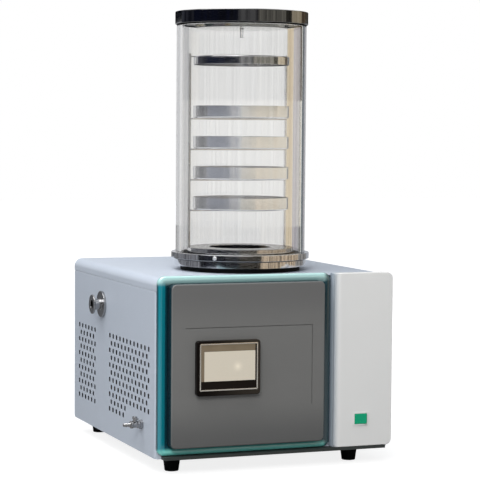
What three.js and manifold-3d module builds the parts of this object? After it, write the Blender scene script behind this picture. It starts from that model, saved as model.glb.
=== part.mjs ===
// Bench-top freeze dryer: a refrigerated cabinet with a clear drying chamber standing on its cold trap.
// Millimetres, +Z up, +Y towards the rear, fronts face -Y. Everything is placed from the cabinet's
// front left floor corner (x 0 is the outside of the left side panel, y 0 the front edge of the side
// panels, z 0 the floor), and the whole group is then moved so that its origin is the bottom centre.
import * as THREE from "three";
import { mergeVertices } from "three/addons/utils/BufferGeometryUtils.js";
import Module from "manifold-3d";

const wasm = await Module();
wasm.setup();

// ---------------------------------------------------------------- driving dimensions
const clearance = 0.3; // between pieces that touch
const sheet = 1.5; // folded sheet metal

// cabinet
const cabinet_width = 485;
const cabinet_depth = 552;
const cabinet_height = 344.5; // underside of the base pan to the top of the cover
const foot_height = 30.2;
const cabinet_bottom = foot_height + clearance;
const cabinet_top = cabinet_bottom + cabinet_height;
const cover_drop = 25; // height of the top cover's sides
const cover_edge_radius = 16;
const side_return = 14; // flanges folded inwards round each side panel
const side_corner = 8; // cut across each side panel's lower rear corner
const pan_rim = 14;
const sill_reach = 20; // how far the base pan runs out under the front pieces
const sill_inset = 12;

// feet
const foot_top_radius = 17.5;
const foot_bottom_radius = 13.5;
const foot_inset_left = 47.5;
const foot_inset_right = 64;
const foot_inset_front = 42;
const foot_inset_rear = 32;

// white column at the right of the front
const column_width = 126.8;
const column_proud = 20;
const column_wall = 3;
const column_radius = 11; // its left front edge
const column_edge = 3; // its right front edge
const column_corner = 12; // its right corners, seen from the front
const column_foot = 6.3; // above the underside of the base pan
const column_head = 3.3; // above the cover
const column_gap = 0.8;

// coloured frame and grey panel
const bezel_left = 1;
const bezel_right = cabinet_width - column_width - column_gap;
const bezel_foot = 6.7;
const bezel_head = 4;
const bezel_band = 20.9; // width of the frame at its sides
const bezel_band_head = 14.2;
const bezel_band_foot = 15.5;
const bezel_crest = 8.5; // how far the frame stands forward
const bezel_corner = 15;
const panel_proud = 28; // front of the grey panel ahead of the cabinet
const panel_back = 1.5; // how far its walls run back into the cabinet
const panel_wall = 3;
const panel_corner = 10;
const panel_edge = 2.5;
const groove_width = 1.1;
const groove_depth = 0.8;
const groove_inset_left = 27.8;
const groove_inset_right = 25.7;
const groove_inset_top = 82.7;
const groove_inset_bottom = 73.9;

// touch screen
const screen_inset_left = 46.8; // from the grey panel's edges
const screen_inset_bottom = 99.5;
const screen_width = 128.6;
const screen_height = 105;
const screen_proud = 12; // ahead of the grey panel
const screen_corner = 6;
const screen_depth = 34; // housing behind the panel's face
const screen_lip = 7;
const trim_side = 5.4;
const trim_foot = 10;
const trim_head = 5;
const trim_band = 1.8;
const trim_depth = 3;
const trim_stand = 0.4;
const glass_sink = 0.5;

// power switch
const switch_inset_right = 67; // its middle, from the cabinet's right side
const switch_rise = 60.5; // its middle, above the underside of the base pan
const switch_flange_width = 33;
const switch_flange_height = 27;
const switch_flange = 1.2;
const switch_wall = 1.2; // round the rocker's pocket
const switch_depth = 20;
const switch_pocket = 14;
const rocker_width = 25.4;
const rocker_height = 20.2;
const rocker_gap = 0.8; // either side of the rocker
const rocker_proud = 3.4;
const rocker_pivot_depth = 5;
const rocker_pin_radius = 1.6;
const rocker_pin_length = 0.9;
const rocker_throw_deg = 6; // to each side

// left panel's air holes, in staggered rows
const vent_size = 9.4; // across each square hole
const vent_pitch = 22.8;
const vent_row_pitch = 15;
const vent_rise = 205.5; // top row, above the underside of the base pan
const vent_rows = 11;
const vent_rear_last = 511.5;
const vent_rear_columns = 6;
const vent_front_last = 292.5;
const vent_front_columns = 12;
const vent_short_rows = 2; // lowest rows of the front field, which stop short of the drain valve
const vent_short_columns = 5;

// air slots in the right and rear panels
const slot_width = 8;
const slot_height = 44;
const slot_pitch = 40;
const slot_columns = 9;
const slot_rises = [66, 136];
const rear_slot_columns = 7;
const rear_slot_rises = [120, 190];

// trays, and the rack that they fix the size of
const tray_radius = 96;
const tray_height = 24.5;
const tray_wall = 1.2;
const tray_count = 4;
const tray_spacing = 60.8;
const tray_rise = 121; // underside of the lowest tray, above the cabinet's top
const upright_gap = 6; // between a tray and an upright
const upright_width = 7;
const upright_thickness = 4;
const upright_back = 12.6; // behind the rack's middle
const upright_length = 385;
const bar_width = 24;
const bar_thickness = 3;
const top_shelf_rise = 409.4; // underside of the top shelf, above the cabinet's top
const top_shelf_height = 17;
const rack_overhang = 1;
const rack_height = 23.4;
const rack_plate = 2;
const rack_opening = 62;

// cold trap
const trap_wall = 2;
const trap_depth = 195; // below the cabinet's top
const trap_rim = 22; // top of its flange above the cabinet's top
const flange_thickness = 12;
const flange_reach = 25.5; // past the trap's outer wall
const neck_reach = 10;
const neck_thickness = 4;
const gasket_reach = 13;
const coil_tube = 4;
const coil_turns = 5;
const coil_pitch = 17;
const coil_rise = 12; // lowest turn above the trap's underside
const coil_standoff = 0.115; // between the trap and the flats of the coil
const coil_steps = 20; // straight lengths in each turn
const insulation_gap = 5.5; // round the coil
const insulation_wall = 16;
const insulation_foot = 18;

// drying chamber
const rack_gap = 13; // between the rack and the clear tube
const tube_wall = 10;
const tube_length = 460;
const seal_thickness = 1.4;
const seal_inset = 8;
const ring_reach = 8.5; // past the tube
const ring_thickness = 12;
const ring_ledge = 3;
const ring_lip = 2;
const screw_radius = 4;
const screw_length = 8;
const screw_head = 2.6;
const screw_angles = [-132, -12, 108]; // round the axis, from +X
const lid_seal = 2.1; // its thickness
const lid_overhang = 3;
const lid_thickness = 24.7;
const lid_chamfer = 3;
const lid_boss_radius = 92.5;
const lid_boss_drop = 7.7;
const lid_plug_radius = 3.5;
const lid_plug_length = 18;

// vacuum port
const port_y = 344;
const port_drop = 80; // below the cabinet's top
const port_reach = 23.7;
const port_flange_radius = 20;
const port_flange = 3;
const port_taper = 2.3;
const port_neck_radius = 11.5;
const port_bore = 9.5;
const port_plate_radius = 27;
const port_plate = 5;
const port_depth = 14; // inside the panel
const vacuum_pipe_radius = 11.5;

// drain valve
const drain_y = 80;
const drain_rise = 55.5;
const drain_reach = 38;
const drain_stem_radius = 5;
const drain_stem_depth = 12;
const drain_nut_radius = 9;
const drain_nut = 5;
const drain_body_radius = 7.5;
const drain_body_length = 19;
const drain_barb_radius = 4.2;
const drain_bore = 2;
const drain_pipe_radius = 4;
const drain_room = 4; // round the drain pipe where it leaves the insulation
const lever_boss_radius = 4;
const lever_boss_rise = 11.5; // above the valve's axis
const lever_hub_radius = 5;
const lever_thickness = 4;
const lever_length = 17;
const lever_width = 6;

// refrigeration
const condenser_left = 16;
const condenser_thick = 34;
const condenser_front = 62;
const condenser_length = 218;
const condenser_rise = 67.5;
const condenser_height = 146;
const condenser_plate = 1.5;
const fan_size = 118;
const fan_depth = 38;
const fan_bore = 56;
const fan_radius = 53;
const fan_hub_radius = 20;
const fan_blades = 7;
const fan_blade_pitch_deg = 35;
const fan_pin_radius = 3;
const fan_gap = 14.7; // between the fan and the cold trap's insulation
const compressor_x = 128;
const compressor_inset_rear = 104;
const compressor_radius = 68;
const compressor_plate_radius = 84;
const compressor_plate = 3;
const compressor_height = 160;
const mount_height = 24;
const mount_radius = 11;
const mount_circle = 70;
const drier_radius = 15;
const drier_length = 100;
const drier_rise = 85;
const pipe_radius = 4;

// electrics
const box_gap = 5; // from the cold trap's insulation
const box_inset_right = 15;
const box_front = 30;
const box_depth = 170;
const box_height = 150;
const inlet_inset_right = 85;
const inlet_rise = 61.5;
const inlet_width = 50;
const inlet_height = 32;
const inlet_flange = 2.5;
const inlet_body_width = 34;
const inlet_body_height = 26;
const inlet_depth = 28;
const inlet_pocket = 17;
const inlet_wall = 2;
const inlet_pins = [[-7, -3], [0, 3], [7, -3]]; // across and up from the inlet's middle
const inlet_pin_width = 2;
const inlet_pin_height = 5;

// flat sides that round pieces are made with
const shell_sides = 48; // the clear tube and what meets it
const lathe_sides = 36; // the cold trap and the rack's base
const tray_sides = 32;
const port_sides = 24;
const foot_sides = 20;
const valve_sides = 16;
const pin_sides = 12;
const screw_sides = 10;
const wide_pipe_sides = 12;
const thin_pipe_sides = 6;

// ---------------------------------------------------------------- places that follow
const inner_left = sheet + clearance;
const inner_right = cabinet_width - sheet - clearance;
const cover_seam = cabinet_top - cover_drop;
const panel_foot = cabinet_bottom + clearance;
const panel_head = cover_seam - clearance;
const rear_face = cabinet_depth - sheet;
const pan_floor = cabinet_bottom + sheet;

const upright_spread = tray_radius + upright_gap + upright_thickness / 2;
const rack_radius = upright_spread + upright_thickness / 2 + rack_overhang;
const trap_outer = rack_radius;
const trap_inner = trap_outer - trap_wall;
const trap_top = cabinet_top + trap_rim;
const trap_bottom = cabinet_top - trap_depth - trap_wall;
const coil_radius = (trap_outer + coil_standoff + coil_tube) / Math.cos(Math.PI / coil_steps);
const insulation_inner = coil_radius + insulation_gap;
const insulation_outer = insulation_inner + insulation_wall;
const tube_inner = rack_radius + rack_gap;
const tube_outer = tube_inner + tube_wall;
const ring_bottom = trap_top + seal_thickness + 2 * clearance;
const tube_bottom = ring_bottom + ring_ledge + clearance;
const tube_top = tube_bottom + tube_length;
const lid_bottom = tube_top + lid_seal + 2 * clearance;
const lid_top = lid_bottom + lid_thickness;

const fan_left = condenser_left + condenser_thick + clearance;
const axis_x = fan_left + fan_depth + fan_gap + insulation_outer;
const axis_y = 175;

// ---------------------------------------------------------------- materials
function material(colour, roughness, metalness = 0, opacity = 1) {
  return new THREE.MeshStandardMaterial({
    color: colour,
    roughness,
    metalness,
    opacity,
    transparent: opacity < 1,
  });
}
const cabinet_paint = material("#b4bcc8", 0.45);
const column_paint = material("#cccccb", 0.5);
const teal_plastic = material("#16808f", 0.35);
const grey_plastic = material("#616161", 0.6);
const black_plastic = material("#0e0c0b", 0.3);
const black_rubber = material("#151515", 0.85);
const dark_steel = material("#2c302f", 0.6, 0.3);
const polished_steel = material("#c4c4c6", 0.15, 1);
const brushed_steel = material("#a9abae", 0.35, 1);
const clear_acrylic = material("#e8efee", 0.05, 0, 0.3);
const screen_face = material("#d2c8bc", 0.2);
const green_plastic = material("#11a17d", 0.4);
const copper = material("#b46c46", 0.35, 1);
const foam = material("#e0dccb", 0.9);
const compressor_paint = material("#1b1c1e", 0.5);
const aluminium = material("#b8babd", 0.45, 1);

// ---------------------------------------------------------------- shape helpers
const part = new THREE.Group();

// A closed mesh as a solid, its shared corners merged.
function solid(geometry) {
  const bare = geometry.clone();
  for (const name of Object.keys(bare.attributes)) {
    if (name !== "position") bare.deleteAttribute(name);
  }
  const merged = mergeVertices(bare, 1e-4);
  return new wasm.Manifold(
    new wasm.Mesh({
      numProp: 3,
      vertProperties: new Float32Array(merged.attributes.position.array),
      triVerts: new Uint32Array(merged.index.array),
    }),
  );
}

// A solid back as a geometry with flat faces.
function surface(body) {
  const mesh = body.getMesh();
  const points = new Float32Array(mesh.numVert * 3);
  for (let i = 0; i < mesh.numVert; i += 1) {
    for (let k = 0; k < 3; k += 1) points[3 * i + k] = mesh.vertProperties[mesh.numProp * i + k];
  }
  const geometry = new THREE.BufferGeometry();
  geometry.setAttribute("position", new THREE.BufferAttribute(points, 3));
  geometry.setIndex(new THREE.BufferAttribute(new Uint32Array(mesh.triVerts), 1));
  const flat = geometry.toNonIndexed();
  flat.computeVertexNormals();
  return flat;
}

function cut(geometry, tools) {
  const cutters = tools.map(solid);
  return surface(solid(geometry).subtract(wasm.Manifold.union(cutters)));
}

function join(geometries) {
  return surface(wasm.Manifold.union(geometries.map(solid)));
}

function add(name, geometry, look) {
  const mesh = new THREE.Mesh(geometry, look);
  mesh.name = name;
  part.add(mesh);
  return mesh;
}

// A block from its low corner and its size.
function block(x, y, z, width, depth, height) {
  const box = new THREE.BoxGeometry(width, depth, height);
  return box.translate(x + width / 2, y + depth / 2, z + height / 2);
}

// A rod along x, y or z, from the low end of its axis.
function rod(direction, x, y, z, radius, length, sides = valve_sides, end_radius = radius) {
  const shape = new THREE.CylinderGeometry(end_radius, radius, length, sides);
  shape.translate(0, length / 2, 0);
  if (direction === "x") shape.rotateZ(-Math.PI / 2);
  if (direction === "z") shape.rotateX(Math.PI / 2);
  return shape.translate(x, y, z);
}

// A closed profile of [radius, height] points turned about a vertical axis at x, y.
function turned(profile, x, y, sides) {
  let area = 0;
  profile.forEach(([r, z], i) => {
    const [next_r, next_z] = profile[(i + 1) % profile.length];
    area += r * next_z - next_r * z;
  });
  const ordered = area > 0 ? profile : [...profile].reverse();
  const points = [...ordered, ordered[0]].map(([r, z]) => new THREE.Vector2(r, z));
  return new THREE.LatheGeometry(points, sides).rotateX(Math.PI / 2).translate(x, y, 0);
}

// A flat ring about the chamber's axis.
function ring(inner, outer, bottom, top, sides = lathe_sides) {
  const profile = [[inner, bottom], [outer, bottom], [outer, top], [inner, top]];
  return turned(profile, axis_x, axis_y, sides);
}

// A rectangle with round corners, as a path or as a hole.
function rounded(left, bottom, right, top, radius, target = new THREE.Shape()) {
  const r = Math.min(radius, (right - left) / 2, (top - bottom) / 2);
  target.moveTo(left + r, bottom);
  target.lineTo(right - r, bottom);
  target.absarc(right - r, bottom + r, r, -Math.PI / 2, 0, false);
  target.lineTo(right, top - r);
  target.absarc(right - r, top - r, r, 0, Math.PI / 2, false);
  target.lineTo(left + r, top);
  target.absarc(left + r, top - r, r, Math.PI / 2, Math.PI, false);
  target.lineTo(left, bottom + r);
  target.absarc(left + r, bottom + r, r, Math.PI, Math.PI * 1.5, false);
  return target;
}

// A shape drawn in x and z, given thickness from y = back towards the front.
function facing_front(shape, back, thickness, curve_steps = 3) {
  const slab = new THREE.ExtrudeGeometry(shape, {
    depth: thickness,
    bevelEnabled: false,
    curveSegments: curve_steps,
  });
  return slab.rotateX(Math.PI / 2).translate(0, back, 0);
}

// A shape drawn in y and z, given thickness from x = left towards the right.
function facing_side(shape, left, thickness, curve_steps = 3) {
  const slab = new THREE.ExtrudeGeometry(shape, {
    depth: thickness,
    bevelEnabled: false,
    curveSegments: curve_steps,
  });
  const turn = new THREE.Matrix4().makeBasis(
    new THREE.Vector3(0, 1, 0),
    new THREE.Vector3(0, 0, 1),
    new THREE.Vector3(1, 0, 0),
  );
  return slab.applyMatrix4(turn).translate(left, 0, 0);
}

// The points of an outline, each corner once.
function outline_points(outline, corner_steps) {
  const points = outline.getPoints(corner_steps);
  return points.filter((p, i) => p.distanceTo(points[(i + 1) % points.length]) > 1e-6);
}

// Rounded outlines nested in each other, each [inset, y] from the rear to the front, skinned into one
// closed body; a frame closes from its last outline back to its first and has no end faces.
function moulded(box, sections, { inner_radius = 0.6, frame = false, corner_steps = 2 } = {}) {
  const { left, bottom, right, top, radius } = box;
  const rings = sections.map(([inset, y]) => {
    const round = Math.max(radius - inset, inner_radius);
    const outline = rounded(left + inset, bottom + inset, right - inset, top - inset, round);
    return outline_points(outline, corner_steps).map((p) => [p.x, y, p.y]);
  });
  const count = rings[0].length;
  const points = rings.flat(2);
  const faces = [];
  const spans = frame ? rings.length : rings.length - 1;
  for (let s = 0; s < spans; s += 1) {
    const here = s * count;
    const next = ((s + 1) % rings.length) * count;
    for (let i = 0; i < count; i += 1) {
      const j = (i + 1) % count;
      faces.push(here + i, here + j, next + j, here + i, next + j, next + i);
    }
  }
  const last = (rings.length - 1) * count;
  for (let i = 1; i + 1 < count && !frame; i += 1) {
    faces.push(0, i + 1, i);
    faces.push(last, last + i, last + i + 1);
  }
  const geometry = new THREE.BufferGeometry();
  geometry.setAttribute("position", new THREE.Float32BufferAttribute(points, 3));
  geometry.setIndex(faces);
  return geometry;
}

// A round pipe along a smooth curve through the points.
function pipe(points, radius, steps, sides = wide_pipe_sides) {
  const curve = new THREE.CatmullRomCurve3(points.map((p) => new THREE.Vector3(...p)));
  const section = new THREE.Shape();
  section.absarc(0, 0, radius, 0, Math.PI * 2, false);
  return new THREE.ExtrudeGeometry(section, { steps, curveSegments: sides / 2, extrudePath: curve });
}

// ---------------------------------------------------------------- cabinet
function base_pan() {
  const width = inner_right - inner_left;
  const depth = rear_face - 2 * clearance;
  const rim = pan_rim;
  const sill_top = cabinet_bottom + Math.min(bezel_foot, column_foot) - clearance;
  return join([
    block(inner_left, clearance, cabinet_bottom, width, depth, sheet),
    block(inner_left, clearance, cabinet_bottom, sheet, depth, rim),
    block(inner_right - sheet, clearance, cabinet_bottom, sheet, depth, rim),
    block(inner_left, clearance + depth - sheet, cabinet_bottom, width, sheet, rim),
    block(sill_inset, -sill_reach, cabinet_bottom, cabinet_width - 2 * sill_inset, sill_reach + 2,
      sill_top - cabinet_bottom),
  ]);
}
add("base_pan", base_pan(), dark_steel);

// The cover's section: flat top, round shoulders, straight sides, one sheet thick.
function top_cover() {
  const r = cover_edge_radius;
  const w = cabinet_width;
  const section = new THREE.Shape();
  section.moveTo(0, cover_seam);
  section.lineTo(sheet, cover_seam);
  section.absarc(r, cabinet_top - r, r - sheet, Math.PI, Math.PI / 2, true);
  section.absarc(w - r, cabinet_top - r, r - sheet, Math.PI / 2, 0, true);
  section.lineTo(w - sheet, cover_seam);
  section.lineTo(w, cover_seam);
  section.absarc(w - r, cabinet_top - r, r, 0, Math.PI / 2, false);
  section.absarc(r, cabinet_top - r, r, Math.PI / 2, Math.PI, false);
  const shell = facing_front(section, cabinet_depth, cabinet_depth - clearance);
  const skirt = block(sheet / 2, rear_face, cover_seam, w - sheet, sheet, cabinet_top - r - cover_seam);
  const skirt_head = block(r, rear_face, cover_seam, w - 2 * r, sheet, cover_drop - sheet / 2);
  const trap_hole = rod("z", axis_x, axis_y, cover_seam, trap_outer + 1, cover_drop * 2, shell_sides);
  return cut(join([shell, skirt, skirt_head]), [trap_hole]);
}
add("top_cover", top_cover(), cabinet_paint);

// Centres of the left panel's holes, [y, z], in staggered rows.
function vent_centres() {
  const centres = [];
  for (let row = 0; row < vent_rows; row += 1) {
    const z = cabinet_bottom + vent_rise - row * vent_row_pitch;
    const shift = (row % 2) * (vent_pitch / 2);
    const fewer = row % 2;
    const short = row >= vent_rows - vent_short_rows;
    const front_count = short ? vent_short_columns : vent_front_columns - fewer;
    for (let i = 0; i < vent_rear_columns - fewer; i += 1) {
      centres.push([vent_rear_last - shift - i * vent_pitch, z]);
    }
    for (let i = 0; i < front_count; i += 1) centres.push([vent_front_last - shift - i * vent_pitch, z]);
  }
  return centres;
}

// Centres of upright air slots in rows across a width, [across, z of the slot's foot].
function slot_places(columns, width, rises) {
  const places = [];
  for (let i = 0; i < columns; i += 1) {
    const across = width / 2 + (i - (columns - 1) / 2) * slot_pitch;
    for (const rise of rises) places.push([across, cabinet_bottom + rise]);
  }
  return places;
}

function side_sheet(left) {
  const outline = new THREE.Shape();
  outline.moveTo(clearance, panel_foot);
  outline.lineTo(rear_face - clearance - side_corner, panel_foot);
  outline.lineTo(rear_face - clearance, panel_foot + side_corner);
  outline.lineTo(rear_face - clearance, panel_head);
  outline.lineTo(clearance, panel_head);
  outline.closePath();
  return facing_side(outline, left, sheet);
}

// Flanges folded inwards at a side panel's head and front, to carry the cover and the front pieces.
function side_flanges(left) {
  const depth = rear_face - 2 * clearance;
  return [
    block(left, clearance, panel_head - sheet, side_return, depth, sheet),
    block(left, clearance, panel_foot + pan_rim, side_return, sheet, panel_head - panel_foot - pan_rim),
  ];
}

function left_side_panel() {
  const through = 4 * sheet;
  const half = vent_size / 2;
  const holes = vent_centres().map(([y, z]) =>
    block(-sheet, y - half, z - half, through, vent_size, vent_size),
  );
  holes.push(rod("x", -sheet, port_y, port_z, port_neck_radius + clearance, side_return));
  holes.push(rod("x", -sheet, drain_y, drain_z, drain_stem_radius + clearance, side_return, pin_sides));
  return cut(join([side_sheet(0), ...side_flanges(sheet / 2)]), holes);
}

function right_side_panel() {
  const left = cabinet_width - sheet;
  const flanges = side_flanges(cabinet_width - sheet / 2 - side_return);
  const slots = slot_places(slot_columns, cabinet_depth, slot_rises).map(([y, z]) =>
    block(left - 1, y - slot_width / 2, z, sheet + 2, slot_width, slot_height),
  );
  return cut(join([side_sheet(left), ...flanges]), slots);
}

const port_z = cabinet_top - port_drop;
const drain_z = cabinet_bottom + drain_rise;
add("left_side_panel", left_side_panel(), cabinet_paint);
add("right_side_panel", right_side_panel(), cabinet_paint);

const inlet_x = cabinet_width - inlet_inset_right;
const inlet_z = cabinet_bottom + inlet_rise;

function rear_panel() {
  const width = inner_right - inner_left;
  const plate = block(inner_left, rear_face, panel_foot, width, sheet, panel_head - panel_foot);
  const slots = slot_places(rear_slot_columns, cabinet_width, rear_slot_rises).map(([x, z]) =>
    block(x - slot_width / 2, rear_face - 1, z, slot_width, sheet + 2, slot_height),
  );
  const opening_width = inlet_body_width + 2 * clearance;
  const opening_height = inlet_body_height + 2 * clearance;
  slots.push(block(inlet_x - opening_width / 2, rear_face - 1, inlet_z - opening_height / 2, opening_width,
    sheet + 2, opening_height));
  return cut(plate, slots);
}
add("rear_panel", rear_panel(), cabinet_paint);

function foot(x, y) {
  return rod("z", x, y, 0, foot_bottom_radius, foot_height, foot_sides, foot_top_radius);
}
const foot_right = cabinet_width - foot_inset_right;
const foot_rear = cabinet_depth - foot_inset_rear;
const foot_places = [
  ["foot_front_left", foot_inset_left, foot_inset_front],
  ["foot_front_right", foot_right, foot_inset_front],
  ["foot_rear_left", foot_inset_left, foot_rear],
  ["foot_rear_right", foot_right, foot_rear],
];
for (const [name, x, y] of foot_places) add(name, foot(x, y), black_rubber);

// ---------------------------------------------------------------- front pieces
const bezel_bottom = cabinet_bottom + bezel_foot;
const bezel_top = cabinet_top + bezel_head;
const panel_box = {
  left: bezel_left + bezel_band + clearance,
  bottom: bezel_bottom + bezel_band_foot + clearance,
  right: bezel_right - bezel_band - clearance,
  top: bezel_top - bezel_band_head - clearance,
  radius: panel_corner,
};

// The coloured frame: a band with a rounded crest round the grey panel's opening.
function front_bezel() {
  const box = {
    left: bezel_left,
    bottom: bezel_bottom,
    right: bezel_right,
    top: bezel_top,
    radius: bezel_corner,
  };
  const crest = bezel_crest;
  const sections = [
    [0, 0],
    [0, -crest * 0.35],
    [crest * 0.12, -crest * 0.72],
    [crest * 0.45, -crest * 0.94],
    [crest * 0.9, -crest],
    [crest * 1.5, -crest * 0.78],
    [bezel_band + 4, -crest * 0.2],
  ];
  const opening = {
    left: panel_box.left - clearance,
    bottom: panel_box.bottom - clearance,
    right: panel_box.right + clearance,
    top: panel_box.top + clearance,
    radius: panel_corner,
  };
  const cutter = moulded(opening, [[0, 1], [0, -crest - 1]]);
  return cut(moulded(box, sections), [cutter]);
}
add("front_bezel", front_bezel(), teal_plastic);

const panel_front = -panel_proud;
const screen_left = panel_box.left + screen_inset_left;
const screen_bottom = panel_box.bottom + screen_inset_bottom;
const screen_body = {
  left: screen_left + screen_lip,
  right: screen_left + screen_width - screen_lip,
  bottom: screen_bottom + screen_lip,
  top: screen_bottom + screen_height - screen_lip,
  radius: 0.6,
};

function grown(box, by) {
  return {
    left: box.left - by,
    right: box.right + by,
    bottom: box.bottom - by,
    top: box.top + by,
    radius: Math.max(box.radius + by, 0.6),
  };
}

// The grey panel: a box moulding open at the back, with an L-shaped groove round the controls.
function front_panel() {
  const e = panel_edge;
  const shell = moulded(panel_box, [[0, panel_back], [0, panel_front + e], [e * 0.3, panel_front + e * 0.3],
    [e, panel_front]]);
  const hollow = moulded(panel_box, [[panel_wall, panel_back + 1], [panel_wall, panel_front + panel_wall]]);
  const window = moulded(grown(screen_body, clearance), [[0, panel_back], [0, panel_front - 1]]);
  const g = groove_width;
  const groove_left = panel_box.left + groove_inset_left;
  const groove_right = panel_box.right - groove_inset_right;
  const groove_top = panel_box.top - groove_inset_top;
  const groove_bottom = panel_box.bottom + groove_inset_bottom;
  const grooves = [
    block(groove_left, panel_front - 1, groove_top - g, groove_right - groove_left, 1 + groove_depth, g),
    block(groove_right - g, panel_front - 1, groove_bottom, g, 1 + groove_depth,
      groove_top - groove_bottom),
  ];
  return cut(shell, [hollow, window, ...grooves]);
}
add("front_panel", front_panel(), grey_plastic);

const switch_x = cabinet_width - switch_inset_right;
const switch_z = cabinet_bottom + switch_rise;
const switch_body_width = rocker_width + 2 * (rocker_gap + switch_wall);
const switch_body_height = rocker_height + 2 * (clearance + switch_wall);

// The white column: a box open at the back, its left front edge rounded and its right corners round.
function front_column() {
  const left = bezel_right + column_gap;
  const right = cabinet_width;
  const bottom = cabinet_bottom + column_foot;
  const top = cabinet_top + column_head;
  const front = -column_proud;
  const plan = (inset) => {
    const r = column_radius - inset;
    const small = column_edge - inset;
    const shape = new THREE.Shape();
    shape.moveTo(left + inset, inset > 0 ? -1 : 0);
    shape.lineTo(right - inset, inset > 0 ? -1 : 0);
    shape.absarc(right - column_edge, -(front + column_edge), Math.max(small, 0.5), 0, Math.PI / 2, false);
    shape.absarc(left + column_radius, -(front + column_radius), r, Math.PI / 2, Math.PI, false);
    shape.closePath();
    return shape;
  };
  const upright = (inset) => {
    const depth = top - bottom - 2 * inset;
    const body = new THREE.ExtrudeGeometry(plan(inset), { depth, bevelEnabled: false, curveSegments: 4 });
    // the plan is drawn with its y towards the front, so it is turned over about x
    return body.rotateX(Math.PI).translate(0, 0, top - inset);
  };
  const face = new THREE.Shape();
  const c = column_corner;
  face.moveTo(left - 1, bottom);
  face.lineTo(right - c, bottom);
  face.absarc(right - c, bottom + c, c, -Math.PI / 2, 0, false);
  face.absarc(right - c, top - c, c, 0, Math.PI / 2, false);
  face.lineTo(left - 1, top);
  face.closePath();
  const outline = facing_front(face, 1, column_proud + 2, 4);
  const half_width = switch_body_width / 2 + clearance;
  const half_height = switch_body_height / 2 + clearance;
  const opening = block(switch_x - half_width, front - 1, switch_z - half_height, 2 * half_width,
    column_wall + 2, 2 * half_height);
  const outer = solid(upright(0)).intersect(solid(outline));
  const inner_face = solid(facing_front(face, 2, column_proud + 4, 4));
  const hollow = solid(upright(column_wall)).intersect(inner_face);
  return surface(outer.subtract(hollow).subtract(solid(opening)));
}
add("front_column", front_column(), column_paint);

// ---------------------------------------------------------------- touch screen
const screen_front = panel_front - screen_proud;
const trim_box = {
  left: screen_left + trim_side,
  right: screen_left + screen_width - trim_side,
  bottom: screen_bottom + trim_foot,
  top: screen_bottom + screen_height - trim_head,
  radius: 1.5,
};

function screen_bezel() {
  const box = {
    left: screen_left,
    right: screen_left + screen_width,
    bottom: screen_bottom,
    top: screen_bottom + screen_height,
    radius: screen_corner,
  };
  const frame = moulded(box, [
    [0, panel_front - clearance],
    [0, screen_front + 2],
    [0.6, screen_front + 0.6],
    [2, screen_front],
  ]);
  const body = moulded(screen_body, [[0, panel_front + screen_depth], [0, panel_front - 1]]);
  const pocket_box = grown(trim_box, clearance);
  const pocket = moulded(pocket_box, [[0, screen_front + trim_depth], [0, screen_front - 1]]);
  return cut(join([frame, body]), [pocket]);
}
add("screen_bezel", screen_bezel(), black_plastic);

function screen_trim() {
  const back = screen_front + trim_depth - clearance;
  const outer = moulded(trim_box, [[0, back], [0, screen_front - trim_stand]]);
  const inner = moulded(trim_box, [[trim_band, back + 1], [trim_band, screen_front - 1]]);
  return cut(outer, [inner]);
}
add("screen_trim", screen_trim(), polished_steel);

const glass_box = grown(trim_box, -trim_band - clearance);
const glass_back = screen_front + trim_depth - clearance;
add("screen_glass", moulded(glass_box, [[0, glass_back], [0, screen_front + glass_sink]]), screen_face);

// ---------------------------------------------------------------- power switch
const column_front = -column_proud;
const pivot_y = column_front + rocker_pivot_depth;

function switch_frame() {
  const flange = block(switch_x - switch_flange_width / 2, column_front - clearance - switch_flange,
    switch_z - switch_flange_height / 2, switch_flange_width, switch_flange, switch_flange_height);
  const body = block(switch_x - switch_body_width / 2, column_front - clearance - switch_flange,
    switch_z - switch_body_height / 2, switch_body_width, switch_depth, switch_body_height);
  const pocket = block(switch_x - rocker_width / 2 - rocker_gap, column_front - 5,
    switch_z - rocker_height / 2 - clearance, rocker_width + 2 * rocker_gap,
    5 + switch_pocket, rocker_height + 2 * clearance);
  const reach = rocker_height + 2 * rocker_pin_length + 2 * clearance;
  const pins = rod("z", switch_x, pivot_y, switch_z - reach / 2, rocker_pin_radius + clearance, reach,
    pin_sides);
  return cut(join([flange, body]), [pocket, pins]);
}
add("switch_frame", switch_frame(), column_paint);

// The rocker: two shallow faces that meet at its middle, on two pins, pressed down on one side.
function power_rocker() {
  const half = rocker_width / 2;
  const slope = Math.tan(THREE.MathUtils.degToRad(rocker_throw_deg));
  const rise = rocker_proud + rocker_pivot_depth;
  const plan = new THREE.Shape();
  plan.moveTo(-half, rise);
  plan.lineTo(-half, -1);
  plan.lineTo(-half * 0.4, -4);
  plan.lineTo(half * 0.4, -4);
  plan.lineTo(half, -1);
  plan.lineTo(half, rise);
  plan.lineTo(0, rise - half * slope);
  plan.closePath();
  const body = new THREE.ExtrudeGeometry(plan, { depth: rocker_height, bevelEnabled: false });
  body.translate(0, 0, -rocker_height / 2);
  const length = rocker_height + 2 * rocker_pin_length;
  const pins = rod("z", 0, 0, -length / 2, rocker_pin_radius, length, pin_sides);
  // the plan is drawn with its y towards the front
  return join([body.rotateX(Math.PI), pins]);
}
const rocker = add("power_rocker", power_rocker(), green_plastic);
rocker.position.set(switch_x, pivot_y, switch_z);
rocker.rotation.z = THREE.MathUtils.degToRad(-rocker_throw_deg);

// ---------------------------------------------------------------- cold trap
function about_axis(profile, sides = lathe_sides) {
  return turned(profile, axis_x, axis_y, sides);
}

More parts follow.
